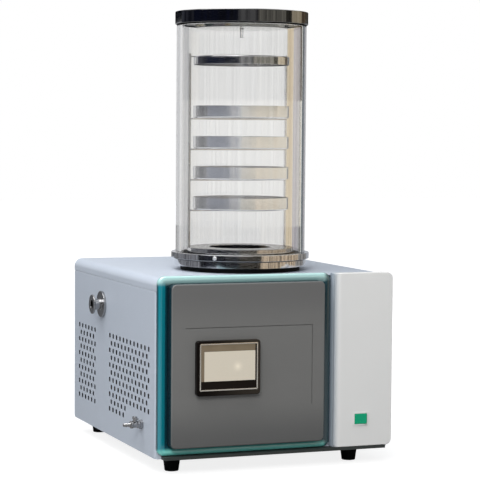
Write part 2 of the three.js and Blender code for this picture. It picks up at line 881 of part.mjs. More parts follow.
// The vacuum pipe's centre line: out of the port, then round to meet the cold trap square on.
const port_turn = new THREE.Vector2(inner_left + port_depth - axis_x, port_y - axis_y).normalize();
function off_trap(distance, z) {
  const reach = trap_outer + distance;
  return [axis_x + port_turn.x * reach, axis_y + port_turn.y * reach, z];
}
const vacuum_start = inner_left + port_depth + clearance;
const vacuum_route = [
  [vacuum_start, port_y, port_z],
  [vacuum_start + 30, port_y, port_z],
  off_trap(insulation_outer - trap_outer + 24, port_z),
  off_trap(2 * clearance, port_z),
];

// The drain pipe's centre line: from the bottom of the cold trap to the back of the drain valve.
const drain_start = inner_left + drain_stem_depth + clearance;
const drain_drop = trap_bottom - clearance;
const drain_route = [
  [axis_x, axis_y, drain_drop],
  [axis_x, axis_y, drain_drop - insulation_foot - 4],
  [axis_x - 50, axis_y - 30, (drain_drop - insulation_foot + drain_z) / 2],
  [axis_x - 120, drain_y + 12, drain_z + 2],
  [drain_start + 30, drain_y, drain_z],
  [drain_start, drain_y, drain_z],
];

function cold_trap_vessel() {
  const flange_bottom = trap_top - flange_thickness;
  const neck_bottom = flange_bottom - neck_thickness;
  const floor = trap_bottom + trap_wall;
  const outlet = drain_pipe_radius - 1;
  const pot = about_axis([
    [outlet, floor],
    [trap_inner, floor],
    [trap_inner, trap_top],
    [trap_outer + flange_reach, trap_top],
    [trap_outer + flange_reach, flange_bottom],
    [trap_outer + neck_reach, flange_bottom],
    [trap_outer + neck_reach, neck_bottom],
    [trap_outer, neck_bottom],
    [trap_outer, trap_bottom],
    [outlet, trap_bottom],
  ]);
  const port = pipe([off_trap(20, port_z), off_trap(0, port_z), off_trap(-20, port_z)], port_bore, 2);
  return cut(pot, [port]);
}
add("cold_trap_vessel", cold_trap_vessel(), brushed_steel);

// The evaporator: copper tube wound round the cold trap.
class Helix extends THREE.Curve {
  getPoint(t, target = new THREE.Vector3()) {
    const a = Math.PI / 2 + t * coil_turns * 2 * Math.PI;
    const z = trap_bottom + coil_rise + t * coil_turns * coil_pitch;
    return target.set(axis_x + coil_radius * Math.cos(a), axis_y + coil_radius * Math.sin(a), z);
  }
}

function round_bar(curve, radius, steps, sides) {
  const section = new THREE.Shape();
  for (let i = 0; i < sides; i += 1) {
    const a = (i * 2 * Math.PI) / sides;
    if (i === 0) section.moveTo(radius, 0);
    else section.lineTo(radius * Math.cos(a), radius * Math.sin(a));
  }
  section.closePath();
  return new THREE.ExtrudeGeometry(section, { steps, extrudePath: curve });
}
add("evaporator_coil", round_bar(new Helix(), coil_tube, coil_turns * coil_steps, 5), copper);

// Straight lengths along each pipe's run.
const vacuum_steps = 14;
const drain_steps = 20;
const discharge_steps = 14;
const suction_steps = 20;
const liquid_steps = 30;

// Refrigerant pipes meet the coil's ends along its run.
const coil_start = trap_bottom + coil_rise;
const coil_end = coil_start + coil_turns * coil_pitch;
const compressor_y = cabinet_depth - compressor_inset_rear;
const compressor_bottom = pan_floor + mount_height + 2 * clearance;
const drier_start = condenser_front + condenser_length + condenser_plate + clearance;
const drier_x = condenser_left + condenser_thick / 2;
const drier_z = cabinet_bottom + drier_rise;

function off_compressor(distance, angle_deg, z) {
  const a = THREE.MathUtils.degToRad(angle_deg);
  const reach = compressor_radius + distance;
  return [compressor_x + reach * Math.cos(a), compressor_y + reach * Math.sin(a), z];
}
const suction_route = [
  [axis_x - 2 * clearance, axis_y + coil_radius, coil_end],
  [axis_x - 12, axis_y + coil_radius, coil_end],
  [axis_x - 30, axis_y + insulation_outer + 22, coil_end - 10],
  off_compressor(24, -40, compressor_bottom + 90),
  off_compressor(2 * clearance, -40, compressor_bottom + 90),
];
const liquid_route = [
  [axis_x + 2 * clearance, axis_y + coil_radius, coil_start],
  [axis_x + 12, axis_y + coil_radius, coil_start],
  [axis_x + 20, axis_y + insulation_outer + 22, coil_start - 20],
  [axis_x - 40, axis_y + insulation_outer + 50, coil_start - 90],
  [compressor_x - 30, compressor_y - compressor_plate_radius - 22, drier_z - 40],
  [drier_x, drier_start + drier_length + 22, drier_z],
  [drier_x, drier_start + drier_length + clearance, drier_z],
];
const discharge_route = [
  off_compressor(2 * clearance, -110, compressor_bottom + 120),
  off_compressor(24, -110, compressor_bottom + 120),
  [drier_x + 18, drier_start + 40, cabinet_bottom + condenser_rise + condenser_height - 16],
  [drier_x, drier_start + 18, cabinet_bottom + condenser_rise + condenser_height - 16],
  [drier_x, drier_start, cabinet_bottom + condenser_rise + condenser_height - 16],
];

function trap_insulation() {
  const top = cabinet_top - sheet - clearance;
  const foot = trap_bottom - insulation_foot;
  const floor = trap_bottom - clearance;
  const hole_radius = drain_pipe_radius + drain_room;
  const shell = about_axis([
    [hole_radius, foot],
    [insulation_outer, foot],
    [insulation_outer, top],
    [insulation_inner, top],
    [insulation_inner, floor],
    [hole_radius, floor],
  ]);
  return cut(shell, [
    pipe(vacuum_route, vacuum_pipe_radius + 2 * clearance, vacuum_steps),
    pipe(suction_route, pipe_radius + 2 * clearance, suction_steps, thin_pipe_sides),
    pipe(liquid_route, pipe_radius + 2 * clearance, liquid_steps, thin_pipe_sides),
  ]);
}
add("trap_insulation", trap_insulation(), foam);

const gasket_bottom = cabinet_top + clearance;
const neck_bottom = trap_top - flange_thickness - neck_thickness;
add("trap_gasket", ring(trap_outer + 1, trap_outer + gasket_reach, gasket_bottom, neck_bottom - clearance),
  black_rubber);

add("vacuum_pipe", pipe(vacuum_route, vacuum_pipe_radius, vacuum_steps), brushed_steel);
add("drain_pipe", pipe(drain_route, drain_pipe_radius, drain_steps, thin_pipe_sides), clear_acrylic);

// ---------------------------------------------------------------- drying chamber
const seal_bottom = trap_top + clearance;
add("chamber_seal", ring(tube_inner - seal_inset, tube_outer, seal_bottom, seal_bottom + seal_thickness),
  black_rubber);

const ring_outer = tube_outer + ring_reach;
const screw_z = ring_bottom + ring_thickness / 2;

function radial(shape, angle_deg, z) {
  return shape.rotateZ(THREE.MathUtils.degToRad(angle_deg)).translate(axis_x, axis_y, z);
}

function chamber_base_ring() {
  const top = ring_bottom + ring_thickness;
  const profile = [
    [tube_inner - ring_lip, ring_bottom],
    [ring_outer, ring_bottom],
    [ring_outer, top],
    [tube_outer + clearance, top],
    [tube_outer + clearance, ring_bottom + ring_ledge],
    [tube_inner - ring_lip, ring_bottom + ring_ledge],
  ];
  const bore_start = ring_outer - (screw_length - screw_head) - clearance;
  const bore_radius = screw_radius + clearance;
  const bores = screw_angles.map((angle) =>
    radial(rod("x", bore_start, 0, 0, bore_radius, screw_length * 2, screw_sides), angle, screw_z),
  );
  return cut(about_axis(profile, shell_sides), bores);
}
add("chamber_base_ring", chamber_base_ring(), polished_steel);

screw_angles.forEach((angle, i) => {
  const start = ring_outer - (screw_length - screw_head);
  const screw = radial(rod("x", start, 0, 0, screw_radius, screw_length, screw_sides), angle, screw_z);
  add(`ring_screw_${i + 1}`, screw, polished_steel);
});

add("chamber_tube", ring(tube_inner, tube_outer, tube_bottom, tube_top, shell_sides), clear_acrylic);
const lid_seal_bottom = tube_top + clearance;
add("lid_seal", ring(tube_inner, tube_outer, lid_seal_bottom, lid_seal_bottom + lid_seal), black_rubber);

const lid_radius = tube_outer + lid_overhang;
const lid_profile = [
  [0, lid_bottom],
  [lid_radius, lid_bottom],
  [lid_radius, lid_top - lid_chamfer],
  [lid_radius - lid_chamfer, lid_top],
  [0, lid_top],
];
add("lid", about_axis(lid_profile, shell_sides), black_plastic);

const boss_top = lid_bottom - clearance;
const boss_profile = [
  [0, boss_top],
  [lid_boss_radius, boss_top],
  [lid_boss_radius, boss_top - lid_boss_drop],
  [lid_plug_radius, boss_top - lid_boss_drop],
  [lid_plug_radius, boss_top - lid_boss_drop - lid_plug_length],
  [0, boss_top - lid_boss_drop - lid_plug_length],
];
add("lid_boss", about_axis(boss_profile), clear_acrylic);

// ---------------------------------------------------------------- rack and trays
const rack_bottom = trap_top + clearance;
const rack_top = rack_bottom + rack_height;
const rack_profile = [
  [rack_opening, rack_top],
  [rack_radius, rack_top],
  [rack_radius, rack_bottom],
  [rack_radius - rack_plate, rack_bottom],
  [rack_radius - rack_plate, rack_top - rack_plate],
  [rack_opening, rack_top - rack_plate],
];
add("rack_base", about_axis(rack_profile), brushed_steel);

const rack_y = axis_y + upright_back;
const upright_bottom = rack_top + clearance;
for (const [name, side] of [["rack_upright_left", -1], ["rack_upright_right", 1]]) {
  const middle = axis_x + side * upright_spread;
  const upright = block(middle - upright_thickness / 2, rack_y - upright_width / 2, upright_bottom,
    upright_thickness, upright_width, upright_length);
  add(name, upright, polished_steel);
}

const reach = upright_spread - upright_thickness / 2 - clearance; // from the axis to an upright's inside

for (let i = 0; i < tray_count; i += 1) {
  const z = cabinet_top + tray_rise + i * tray_spacing;
  const bar = block(axis_x - reach, rack_y - bar_width / 2, z - clearance - bar_thickness,
    2 * reach, bar_width, bar_thickness);
  add(`shelf_bar_${i + 1}`, bar, polished_steel);
  const tray_profile = [
    [0, z],
    [tray_radius, z],
    [tray_radius, z + tray_height],
    [tray_radius - tray_wall, z + tray_height],
    [tray_radius - tray_wall, z + tray_wall],
    [0, z + tray_wall],
  ];
  add(`tray_${i + 1}`, about_axis(tray_profile, tray_sides), polished_steel);
}

// The top shelf: an upturned pan with an ear at each upright.
function rack_top_shelf() {
  const bottom = cabinet_top + top_shelf_rise;
  const top = bottom + top_shelf_height;
  const pan = about_axis([
    [0, top],
    [tray_radius, top],
    [tray_radius, bottom],
    [tray_radius - tray_wall, bottom],
    [tray_radius - tray_wall, top - tray_wall],
    [0, top - tray_wall],
  ], tray_sides);
  const inside = tray_radius - tray_wall * 4;
  const ears = [-1, 1].map((side) => {
    const middle = axis_x + (side * (reach + inside)) / 2;
    return block(middle - (reach - inside) / 2, rack_y - upright_width / 2, top - 2 * tray_wall,
      reach - inside, upright_width, 2 * tray_wall);
  });
  return join([pan, ...ears]);
}
add("rack_top_shelf", rack_top_shelf(), polished_steel);

// ---------------------------------------------------------------- vacuum port and drain valve
// A closed profile of [radius, x] points turned about a line along x at y, z.
function turned_across(profile, y, z, sides) {
  return turned(profile, 0, 0, sides).rotateY(Math.PI / 2).translate(0, y, z);
}

// A flanged stub: plate against the panel, neck, and an outer flange with a tapered back.
function vacuum_port() {
  const face = -clearance;
  const lip = -port_reach;
  return turned_across([
    [port_bore, lip],
    [port_flange_radius, lip],
    [port_flange_radius, lip + port_flange],
    [port_neck_radius, lip + port_flange + port_taper],
    [port_neck_radius, face - port_plate],
    [port_plate_radius, face - port_plate],
    [port_plate_radius, face],
    [port_neck_radius, face],
    [port_neck_radius, inner_left + port_depth],
    [port_bore, inner_left + port_depth],
  ], port_y, port_z, port_sides);
}
add("vacuum_port", vacuum_port(), polished_steel);

const lever_x = -clearance - drain_nut - drain_body_length / 2;
const lever_bottom = drain_z + lever_boss_rise + clearance;

// A small ball valve: stem through the panel, six-sided nut, body, hose barb and a boss for the lever.
function drain_valve_body() {
  const face = -clearance;
  const body_end = face - drain_nut - drain_body_length;
  const barb_step = (drain_reach + body_end) / 2;
  const turning = turned_across([
    [drain_bore, -drain_reach],
    [drain_barb_radius - 1, -drain_reach],
    [drain_barb_radius, -drain_reach + barb_step - 0.5],
    [drain_barb_radius - 1, -drain_reach + barb_step],
    [drain_barb_radius, body_end - 0.5],
    [drain_barb_radius, body_end],
    [drain_body_radius, body_end],
    [drain_body_radius, face - 1],
    [drain_stem_radius, face - 1],
    [drain_stem_radius, inner_left + drain_stem_depth],
    [drain_bore, inner_left + drain_stem_depth],
  ], drain_y, drain_z, valve_sides);
  const nut = rod("x", face - drain_nut, drain_y, drain_z, drain_nut_radius, drain_nut, 6);
  const through = rod("x", face - drain_nut - 1, drain_y, drain_z, drain_stem_radius - 1, drain_nut + 2);
  const boss = rod("z", lever_x, drain_y, drain_z + drain_stem_radius, lever_boss_radius,
    lever_boss_rise - drain_stem_radius, pin_sides);
  return join([turning, cut(nut, [through]), boss]);
}
add("drain_valve_body", drain_valve_body(), polished_steel);

function drain_lever() {
  const hub = rod("z", 0, 0, 0, lever_hub_radius, lever_thickness);
  const blade = block(-lever_width / 2, -lever_length, 0, lever_width, lever_length, lever_thickness * 0.6);
  return join([hub, blade]);
}
add("drain_lever", drain_lever(), polished_steel).position.set(lever_x, drain_y, lever_bottom);

// ---------------------------------------------------------------- refrigeration
function condenser() {
  const bottom = cabinet_bottom + condenser_rise;
  const core = block(condenser_left, condenser_front, bottom, condenser_thick, condenser_length,
    condenser_height);
  const plate = condenser_plate;
  const standing = bottom + condenser_height - pan_floor - clearance;
  const ends = [condenser_front - plate, condenser_front + condenser_length].map((y) =>
    block(condenser_left, y - 0.01, pan_floor + clearance, condenser_thick, plate + 0.02, standing),
  );
  return join([core, ...ends]);
}
add("condenser", condenser(), aluminium);

const fan_y = condenser_front + condenser_length / 2;
const fan_z = cabinet_bottom + condenser_rise + condenser_height / 2;
const spider = 4; // thickness of the fan's four arms

function fan_housing() {
  const half = fan_size / 2;
  const frame = block(fan_left, fan_y - half, fan_z - half, fan_depth, fan_size, fan_size);
  const bore = rod("x", fan_left - 1, fan_y, fan_z, fan_bore, fan_depth + 2, tray_sides);
  const arm_left = fan_left + fan_depth - spider;
  const arms = [
    block(arm_left, fan_y - half + 1, fan_z - spider, spider, fan_size - 2, 2 * spider),
    block(arm_left, fan_y - spider, fan_z - half + 1, spider, 2 * spider, fan_size - 2),
    rod("x", arm_left, fan_y, fan_z, fan_hub_radius, spider, foot_sides),
    rod("x", fan_left + spider, fan_y, fan_z, fan_pin_radius, fan_depth - spider, pin_sides),
  ];
  return join([cut(frame, [bore]), ...arms]);
}
add("fan_housing", fan_housing(), black_plastic);

// The rotor: a hub on the housing's pin, with twisted blades.
function fan_rotor() {
  const depth = fan_depth - 3 * spider;
  const blades = [];
  for (let i = 0; i < fan_blades; i += 1) {
    const blade = new THREE.BoxGeometry(2, 24, fan_radius - fan_hub_radius + 2);
    blade.rotateZ(THREE.MathUtils.degToRad(90 - fan_blade_pitch_deg));
    blade.translate(depth / 2, 0, (fan_radius + fan_hub_radius) / 2 - 1);
    blade.rotateX((i * 2 * Math.PI) / fan_blades);
    blades.push(blade);
  }
  const hub = rod("x", 0, 0, 0, fan_hub_radius, depth, foot_sides);
  const bore = rod("x", -1, 0, 0, fan_pin_radius + clearance, depth + 2, pin_sides);
  return cut(join([hub, ...blades]), [bore]);
}
const rotor_left = fan_left + fan_depth - spider - 2 * clearance - (fan_depth - 3 * spider);
add("fan_rotor", fan_rotor(), black_plastic).position.set(rotor_left, fan_y, fan_z);

function compressor() {
  const base = compressor_bottom;
  const top = base + compressor_height;
  const r = compressor_radius;
  return turned([
    [0, base],
    [compressor_plate_radius, base],
    [compressor_plate_radius, base + compressor_plate],
    [r, base + compressor_plate],
    [r, top - r * 0.45],
    [r * 0.9, top - r * 0.2],
    [r * 0.55, top - r * 0.04],
    [0, top],
  ], compressor_x, compressor_y, tray_sides);
}
add("compressor", compressor(), compressor_paint);

for (let i = 0; i < 3; i += 1) {
  const a = (i * 2 * Math.PI) / 3 + Math.PI / 6;
  const x = compressor_x + mount_circle * Math.cos(a);
  const y = compressor_y + mount_circle * Math.sin(a);
  add(`compressor_mount_${i + 1}`, rod("z", x, y, pan_floor + clearance, mount_radius, mount_height),
    black_rubber);
}

add("filter_drier", rod("y", drier_x, drier_start, drier_z, drier_radius, drier_length), copper);
add("suction_pipe", pipe(suction_route, pipe_radius, suction_steps, thin_pipe_sides), copper);
add("liquid_pipe", pipe(liquid_route, pipe_radius, liquid_steps, thin_pipe_sides), copper);
add("discharge_pipe", pipe(discharge_route, pipe_radius, discharge_steps, thin_pipe_sides), copper);

// ---------------------------------------------------------------- electrics
const box_left = axis_x + insulation_outer + box_gap;
const box_width = cabinet_width - box_inset_right - box_left;
add("control_box", block(box_left, box_front, pan_floor + clearance, box_width, box_depth, box_height),
  grey_plastic);

// The mains inlet: a flanged body with a pocket for three flat pins.
function power_inlet() {
  const face = cabinet_depth + clearance;
  const flange = block(inlet_x - inlet_width / 2, face, inlet_z - inlet_height / 2,
    inlet_width, inlet_flange, inlet_height);
  const body = block(inlet_x - inlet_body_width / 2, face + inlet_flange / 2 - inlet_depth,
    inlet_z - inlet_body_height / 2, inlet_body_width, inlet_depth, inlet_body_height);
  const pocket_width = inlet_body_width - 2 * inlet_wall;
  const pocket_height = inlet_body_height - 2 * inlet_wall;
  const pocket = block(inlet_x - pocket_width / 2, face + inlet_flange - inlet_pocket,
    inlet_z - pocket_height / 2, pocket_width, inlet_pocket + 1, pocket_height);
  const pins = inlet_pins.map(([x, z]) =>
    block(inlet_x + x - inlet_pin_width / 2, face - inlet_pocket, inlet_z + z - inlet_pin_height / 2,
      inlet_pin_width, inlet_pocket - 1, inlet_pin_height),
  );
  return join([cut(join([flange, body]), [pocket]), ...pins]);
}
add("power_inlet", power_inlet(), black_plastic);

// ---------------------------------------------------------------- the part's frame
// Origin at the middle of the whole part's footprint, on the floor.
const left_end = -Math.max(drain_reach, port_reach);
const front_end = panel_front - screen_proud - trim_stand;
const rear_end = cabinet_depth + clearance + inlet_flange;
part.position.set(-(left_end + cabinet_width) / 2, -(front_end + rear_end) / 2, 0);

export default part;
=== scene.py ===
import math

import bmesh
import bpy
from bpy.props import FloatProperty, FloatVectorProperty, IntProperty, PointerProperty
from mathutils import Matrix, Vector


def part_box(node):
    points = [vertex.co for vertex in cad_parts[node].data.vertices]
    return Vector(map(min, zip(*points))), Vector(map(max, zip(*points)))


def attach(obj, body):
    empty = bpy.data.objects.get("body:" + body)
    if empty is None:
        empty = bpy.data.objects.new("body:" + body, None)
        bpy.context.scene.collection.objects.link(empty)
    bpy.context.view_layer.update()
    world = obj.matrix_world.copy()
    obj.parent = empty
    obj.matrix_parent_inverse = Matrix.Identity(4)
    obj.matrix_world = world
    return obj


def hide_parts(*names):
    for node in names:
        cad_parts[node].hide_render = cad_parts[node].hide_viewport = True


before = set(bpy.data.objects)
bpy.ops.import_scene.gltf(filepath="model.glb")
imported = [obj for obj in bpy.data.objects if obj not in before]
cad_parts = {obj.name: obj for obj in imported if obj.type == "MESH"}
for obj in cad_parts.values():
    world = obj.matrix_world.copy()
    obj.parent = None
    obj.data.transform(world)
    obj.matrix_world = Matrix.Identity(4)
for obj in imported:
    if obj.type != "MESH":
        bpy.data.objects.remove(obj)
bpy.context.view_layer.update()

bl_info = {
    "name": "Freeze dryer",
    "version": (1, 0, 0),
    "blender": (4, 5, 0),
    "location": "3D View > Sidebar > Freeze dryer",
    "description": "Builds a bench-top freeze dryer round its packed frame",
    "category": "Add Mesh",
}

MM = 0.001

X, Y, Z = range(3)
TUBE_LOW, TUBE_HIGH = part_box("chamber_tube")
AXIS = (TUBE_LOW + TUBE_HIGH) / 2  # of the chamber
CLEARANCE = 0.3 * MM  # round a piece that sits in an opening
PORT_BORE = 9.5 * MM  # the vacuum port's radius inside, and the hole's in the cold trap
DRAIN_RISE = 9 * MM  # from the drain valve's lowest point to its axis


def linear(code):
    """An sRGB hex colour as linear light."""
    channels = [int(code[i : i + 2], 16) / 255 for i in (1, 3, 5)]
    return (*(c / 12.92 if c <= 0.04045 else ((c + 0.055) / 1.055) ** 2.4 for c in channels), 1.0)


def size(name, description, millimetres):
    """A length that a user may change."""
    shown = {"precision": 5, "unit": "LENGTH", "subtype": "DISTANCE"}
    return FloatProperty(name=name, description=description, default=millimetres * MM, min=0.0, **shown)


def colour(name, description, code):
    """A colour that a user may change."""
    shown = {"size": 4, "min": 0.0, "max": 1.0, "subtype": "COLOR"}
    return FloatVectorProperty(name=name, description=description, default=linear(code), **shown)


def swing(name, description, radians):
    """An angle that a user may change."""
    return FloatProperty(name=name, description=description, default=radians, subtype="ANGLE")


# ---------------------------------------------------------------- settings
class CameraSettings(bpy.types.PropertyGroup):
    """Where the camera stands and what it sees"""

    place: FloatVectorProperty(
        name="Place",
        description="Where the camera stands",
        default=(-1.3294, -3.5462, 0.6610),
        subtype="XYZ",
    )
    yaw: swing("Yaw", "Turn to the right of straight ahead", 0.369795)
    pitch: swing("Pitch", "Tilt down", 0.0611468)
    roll: swing("Roll", "Lean to the left", 0.00773308)
    lens: FloatProperty(name="Lens", description="Focal length in millimetres", default=138.47)


class CabinetSettings(bpy.types.PropertyGroup):
    """The sheet metal cabinet and its feet"""

    paint: colour("Cabinet paint", "Powder coat on the cover and the panels", "#b9c1cd")
    column_paint: colour("Column paint", "Powder coat on the white column", "#dddddc")
    sill_paint: colour("Sill paint", "Paint on the base pan", "#2b302f")
    sheet: size("Sheet", "Thickness of the sheet metal", 1.5)
    shoulder: size("Shoulder", "Radius along the cover's long edges", 16)
    fold: size("Fold", "Outside radius of a fold in the sheet", 2.2)
    front_fold: size("Front fold", "Outside radius of the fold behind the coloured frame", 8)
    lower_corner: size("Lower corner", "Cut across the side panels' lower rear corner", 8)
    vent: size("Air hole", "Across one square air hole", 9.4)
    vent_pitch: size("Air hole pitch", "Between air holes in a row", 22.8)
    vent_row: size("Air hole rows", "Between rows of air holes", 15)
    vent_rows: IntProperty(name="Rows", description="Rows of air holes", default=11, min=1)
    slot_width: size("Slot width", "Across one air slot", 8)
    slot_height: size("Slot height", "Length of one air slot", 44)
    slot_pitch: size("Slot pitch", "Between air slots", 40)
    foot_taper: size("Foot taper", "How much narrower a foot is at the floor", 4)


class FrontSettings(bpy.types.PropertyGroup):
    """The coloured frame, the grey panel and the white column"""

    frame_colour: colour("Frame colour", "Moulded plastic of the coloured frame", "#0b8494")
    panel_colour: colour("Panel colour", "Moulded plastic of the grey panel", "#6b6b6a")
    # painted shade: the grey panel's side walls are dark navy for the shade between the frame and the
    # panel
    panel_wall_shade_colour: colour("Panel edge colour", "The panel's side walls", "#11242e")
    crest: size("Crest", "How far the frame stands forward", 8.5)
    frame_corner: size("Frame corner", "Outside corner radius of the frame", 15)
    panel_corner: size("Panel corner", "Corner radius of the grey panel", 10)
    panel_edge: size("Panel edge", "Rounding round the panel's front", 2.5)
    panel_wall: size("Panel wall", "Thickness of the panel and the column", 3)
    groove_width: size("Groove width", "Across the groove round the controls", 1.5)
    groove_depth: size("Groove depth", "Depth of the groove", 1.6)
    column_round: size("Column edge", "Radius of the column's left front edge", 17)
    column_corner: size("Column corner", "Radius of the column's right corners", 12)


class ScreenSettings(bpy.types.PropertyGroup):
    """The touch screen"""

    housing: colour("Housing", "Glossy moulded housing", "#0e0a08")
    display: colour("Display", "The lit display", "#d6cdbc")
    # painted shade: the brown round the display's top and left stands in for the shade of a recess
    painted_shade_border: colour("Border", "Print round the display", "#7a6d5a")
    corner: size("Corner", "Corner radius of the housing", 6)
    trim_band: size("Trim band", "Width of the bright trim", 2.5)


class ChamberSettings(bpy.types.PropertyGroup):
    """The cold trap, the clear tube and the lid"""

    steel: colour("Steel", "Polished stainless steel", "#e2e2e4")
    lid_colour: colour("Lid colour", "Black cast acrylic", "#06060a")
    tube_wall: size("Tube wall", "Thickness of the clear tube", 10)
    trap_wall: size("Trap wall", "Thickness of the cold trap", 2)
    lid_chamfer: size("Lid edge", "Rounding of the lid's top edge", 1.6)
    steps: IntProperty(name="Steps", description="Steps round a large turned piece", default=144, min=24)


class RackSettings(bpy.types.PropertyGroup):
    """The rack and its trays"""

    tray_wall: size("Tray wall", "Thickness of a tray", 1.2)
    tray_corner: size("Tray corner", "Radius between a tray's floor and wall", 3)
    plate: size("Rack plate", "Thickness of the rack's base", 2)
    opening: size("Rack opening", "Radius of the opening in the rack's base", 62)


class SwitchSettings(bpy.types.PropertyGroup):
    """The power switch"""

    rocker_colour: colour("Rocker colour", "Green translucent plastic", "#089a70")
    tilt: swing("Tilt", "The rocker's tilt at rest", math.radians(6))


class DryerSettings(bpy.types.PropertyGroup):
    """All that can be changed on the freeze dryer"""

    camera: PointerProperty(type=CameraSettings)
    cabinet: PointerProperty(type=CabinetSettings)
    front: PointerProperty(type=FrontSettings)
    screen: PointerProperty(type=ScreenSettings)
    chamber: PointerProperty(type=ChamberSettings)
    rack: PointerProperty(type=RackSettings)
    switch: PointerProperty(type=SwitchSettings)


# ---------------------------------------------------------------- modelling
def only(piece):
    """Makes one object the only one selected, in object mode."""
    if bpy.context.object and bpy.context.object.mode != "OBJECT":
        bpy.ops.object.mode_set(mode="OBJECT")
    bpy.ops.object.select_all(action="DESELECT")
    piece.select_set(True)
    bpy.context.view_layer.objects.active = piece


def settle(name):
    """Names the primitive just added and moves its place into its mesh."""
    piece = bpy.context.object
    piece.name = name
    bpy.ops.object.transform_apply(location=True, rotation=True, scale=True)
    return piece


def block(name, low, high):
    """A block from its low and high corners."""
    bpy.ops.object.select_all(action="DESELECT")
    low, high = Vector(low), Vector(high)
    bpy.ops.mesh.primitive_cube_add(size=1, location=(low + high) / 2)
    bpy.context.object.scale = high - low
    return settle(name)


def block_about(name, middle, half, rise, front, back):
    """A block about a line along Y: half its width and height, and where it starts and ends."""
    low, high = (middle.x - half, front, middle.z - rise), (middle.x + half, back, middle.z + rise)
    return block(name, low, high)


def block_like(name, node_name, margin, front, back):
    """A block with a CAD piece's outline and a margin round it, and where it starts and ends along Y."""
    low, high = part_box(node_name)
    return block(name, (low.x - margin, front, low.z - margin), (high.x + margin, back, high.z + margin))


def rod(name, low, high, radius, sides=48, end_radius=None):
    """A round rod between the middles of its two ends."""
    bpy.ops.object.select_all(action="DESELECT")
    low, high = Vector(low), Vector(high)
    bpy.ops.mesh.primitive_cone_add(
        vertices=sides,
        radius1=radius,
        radius2=radius if end_radius is None else end_radius,
        depth=(high - low).length,
        location=(low + high) / 2,
        rotation=(high - low).to_track_quat("Z", "Y").to_euler(),
    )
    return settle(name)


def point(name, place):
    """A mesh of one corner, in edit mode, from which an outline is drawn."""
    bpy.ops.object.select_all(action="DESELECT")
    bpy.ops.mesh.primitive_plane_add(size=MM, location=place)
    piece = settle(name)
    edit(piece)
    bpy.ops.mesh.select_mode(type="VERT")
    bpy.ops.mesh.select_all(action="SELECT")
    bpy.ops.mesh.merge(type="CENTER")
    return piece


def turned(name, outline, centre=AXIS, axis=Z, steps=None):
    """Spins an outline of (radius, height) corners about an upright line, or about a line along X."""
    steps = steps or bpy.context.scene.freeze_dryer.chamber.steps
    cx, cy, cz = centre
    if axis == Z:
        corners = [Vector((cx + radius, cy, height)) for radius, height in outline]
    else:
        corners = [Vector((height, cy, cz + radius)) for radius, height in outline]
    ends_on_axis = outline[0][0] == 0 and outline[-1][0] == 0
    if not ends_on_axis:
        corners.append(corners[0])
    piece = point(name, corners[0])
    for here, there in zip(corners, corners[1:]):
        bpy.ops.mesh.extrude_vertices_move(TRANSFORM_OT_translate={"value": there - here})
    bpy.ops.mesh.select_all(action="SELECT")
    centre, line = ((cx, cy, 0), (0, 0, 1)) if axis == Z else ((0, cy, cz), (1, 0, 0))
    bpy.ops.mesh.spin(steps=steps, angle=2 * math.pi, center=centre, axis=line)
    bpy.ops.mesh.select_all(action="SELECT")
    bpy.ops.mesh.remove_doubles(threshold=1e-6)
    bpy.ops.mesh.normals_make_consistent(inside=False)
    done()
    return piece


def near(a, b, by=1e-5):
    """True if two places are the same."""
    return abs(a - b) < by


def along(run, axis):
    """True if an edge runs along an axis."""
    return all(abs(run[i]) < 1e-6 for i in range(3) if i != axis) and abs(run[axis]) > 1e-6


def edges(axis, x=None, y=None, z=None):
    """A test for the edges along an axis that lie at the given places."""
    places = [(i, place) for i, place in enumerate((x, y, z)) if place is not None]
    return lambda middle, run: along(run, axis) and all(near(middle[i], place) for i, place in places)


def outline_at(axis, place):
    """A test for the edges that lie across an axis at a place on it."""
    return lambda middle, run: near(middle[axis], place) and not along(run, axis)


def facing(axis, sign):
    """A test for the faces that look along an axis, or back along it."""
    return lambda middle, normal: normal[axis] * sign > 0.9


def pick(kind, test):
    """Selects the faces or edges in edit mode that pass the test on their middle and lie."""
    bpy.ops.mesh.select_mode(type=kind)
    bpy.ops.mesh.select_all(action="DESELECT")
    mesh = bpy.context.object.data
    shape = bmesh.from_edit_mesh(mesh)
    if kind == "FACE":
        chosen = [f for f in shape.faces if test(f.calc_center_median(), f.normal)]
    else:
        ends = [(e, e.verts[0].co, e.verts[1].co) for e in shape.edges]
        chosen = [e for e, a, b in ends if test((a + b) / 2, b - a)]
    if not chosen:
        raise RuntimeError(f"nothing to select on {bpy.context.object.name}")
    for element in chosen:
        element.select_set(True)
    bmesh.update_edit_mesh(mesh)


def edit(piece):
    """Opens a piece in edit mode."""
    only(piece)
    bpy.ops.object.mode_set(mode="EDIT")


def done():
    """Goes back to object mode."""
    bpy.ops.object.mode_set(mode="OBJECT")


def rounded(piece, *rounds):
    """Rounds edges in turn: each round is a test for the edges, the width and its segments."""
    edit(piece)
    for test, width, segments in rounds:
        pick("EDGE", test)
        bpy.ops.mesh.bevel(
            offset=width, offset_type="OFFSET", segments=segments, profile=0.5, affect="EDGES"
        )
    done()
    return piece


def apply(piece, kind, **settings):
    """Adds a modifier with its settings and applies it."""
    only(piece)
    modifier = piece.modifiers.new(kind.title(), kind)
    for key, value in settings.items():
        setattr(modifier, key, value)
    bpy.ops.object.modifier_apply(modifier=modifier.name)


def cut(piece, *tools, operation="DIFFERENCE"):
    """Cuts each tool out of the piece, or joins it on, and throws the tool away."""
    for tool in tools:
        apply(piece, "BOOLEAN", operation=operation, object=tool, solver="EXACT")
        bpy.data.objects.remove(tool)


def copied(piece, name, move=(0, 0, 0), turn=None):
    """A copy with its own mesh, moved or turned in its mesh."""
    twin = piece.copy()
    twin.data = piece.data.copy()
    twin.name = name
    bpy.context.scene.collection.objects.link(twin)
    twin.data.transform(Matrix.Translation(move) if turn is None else turn)
    return twin


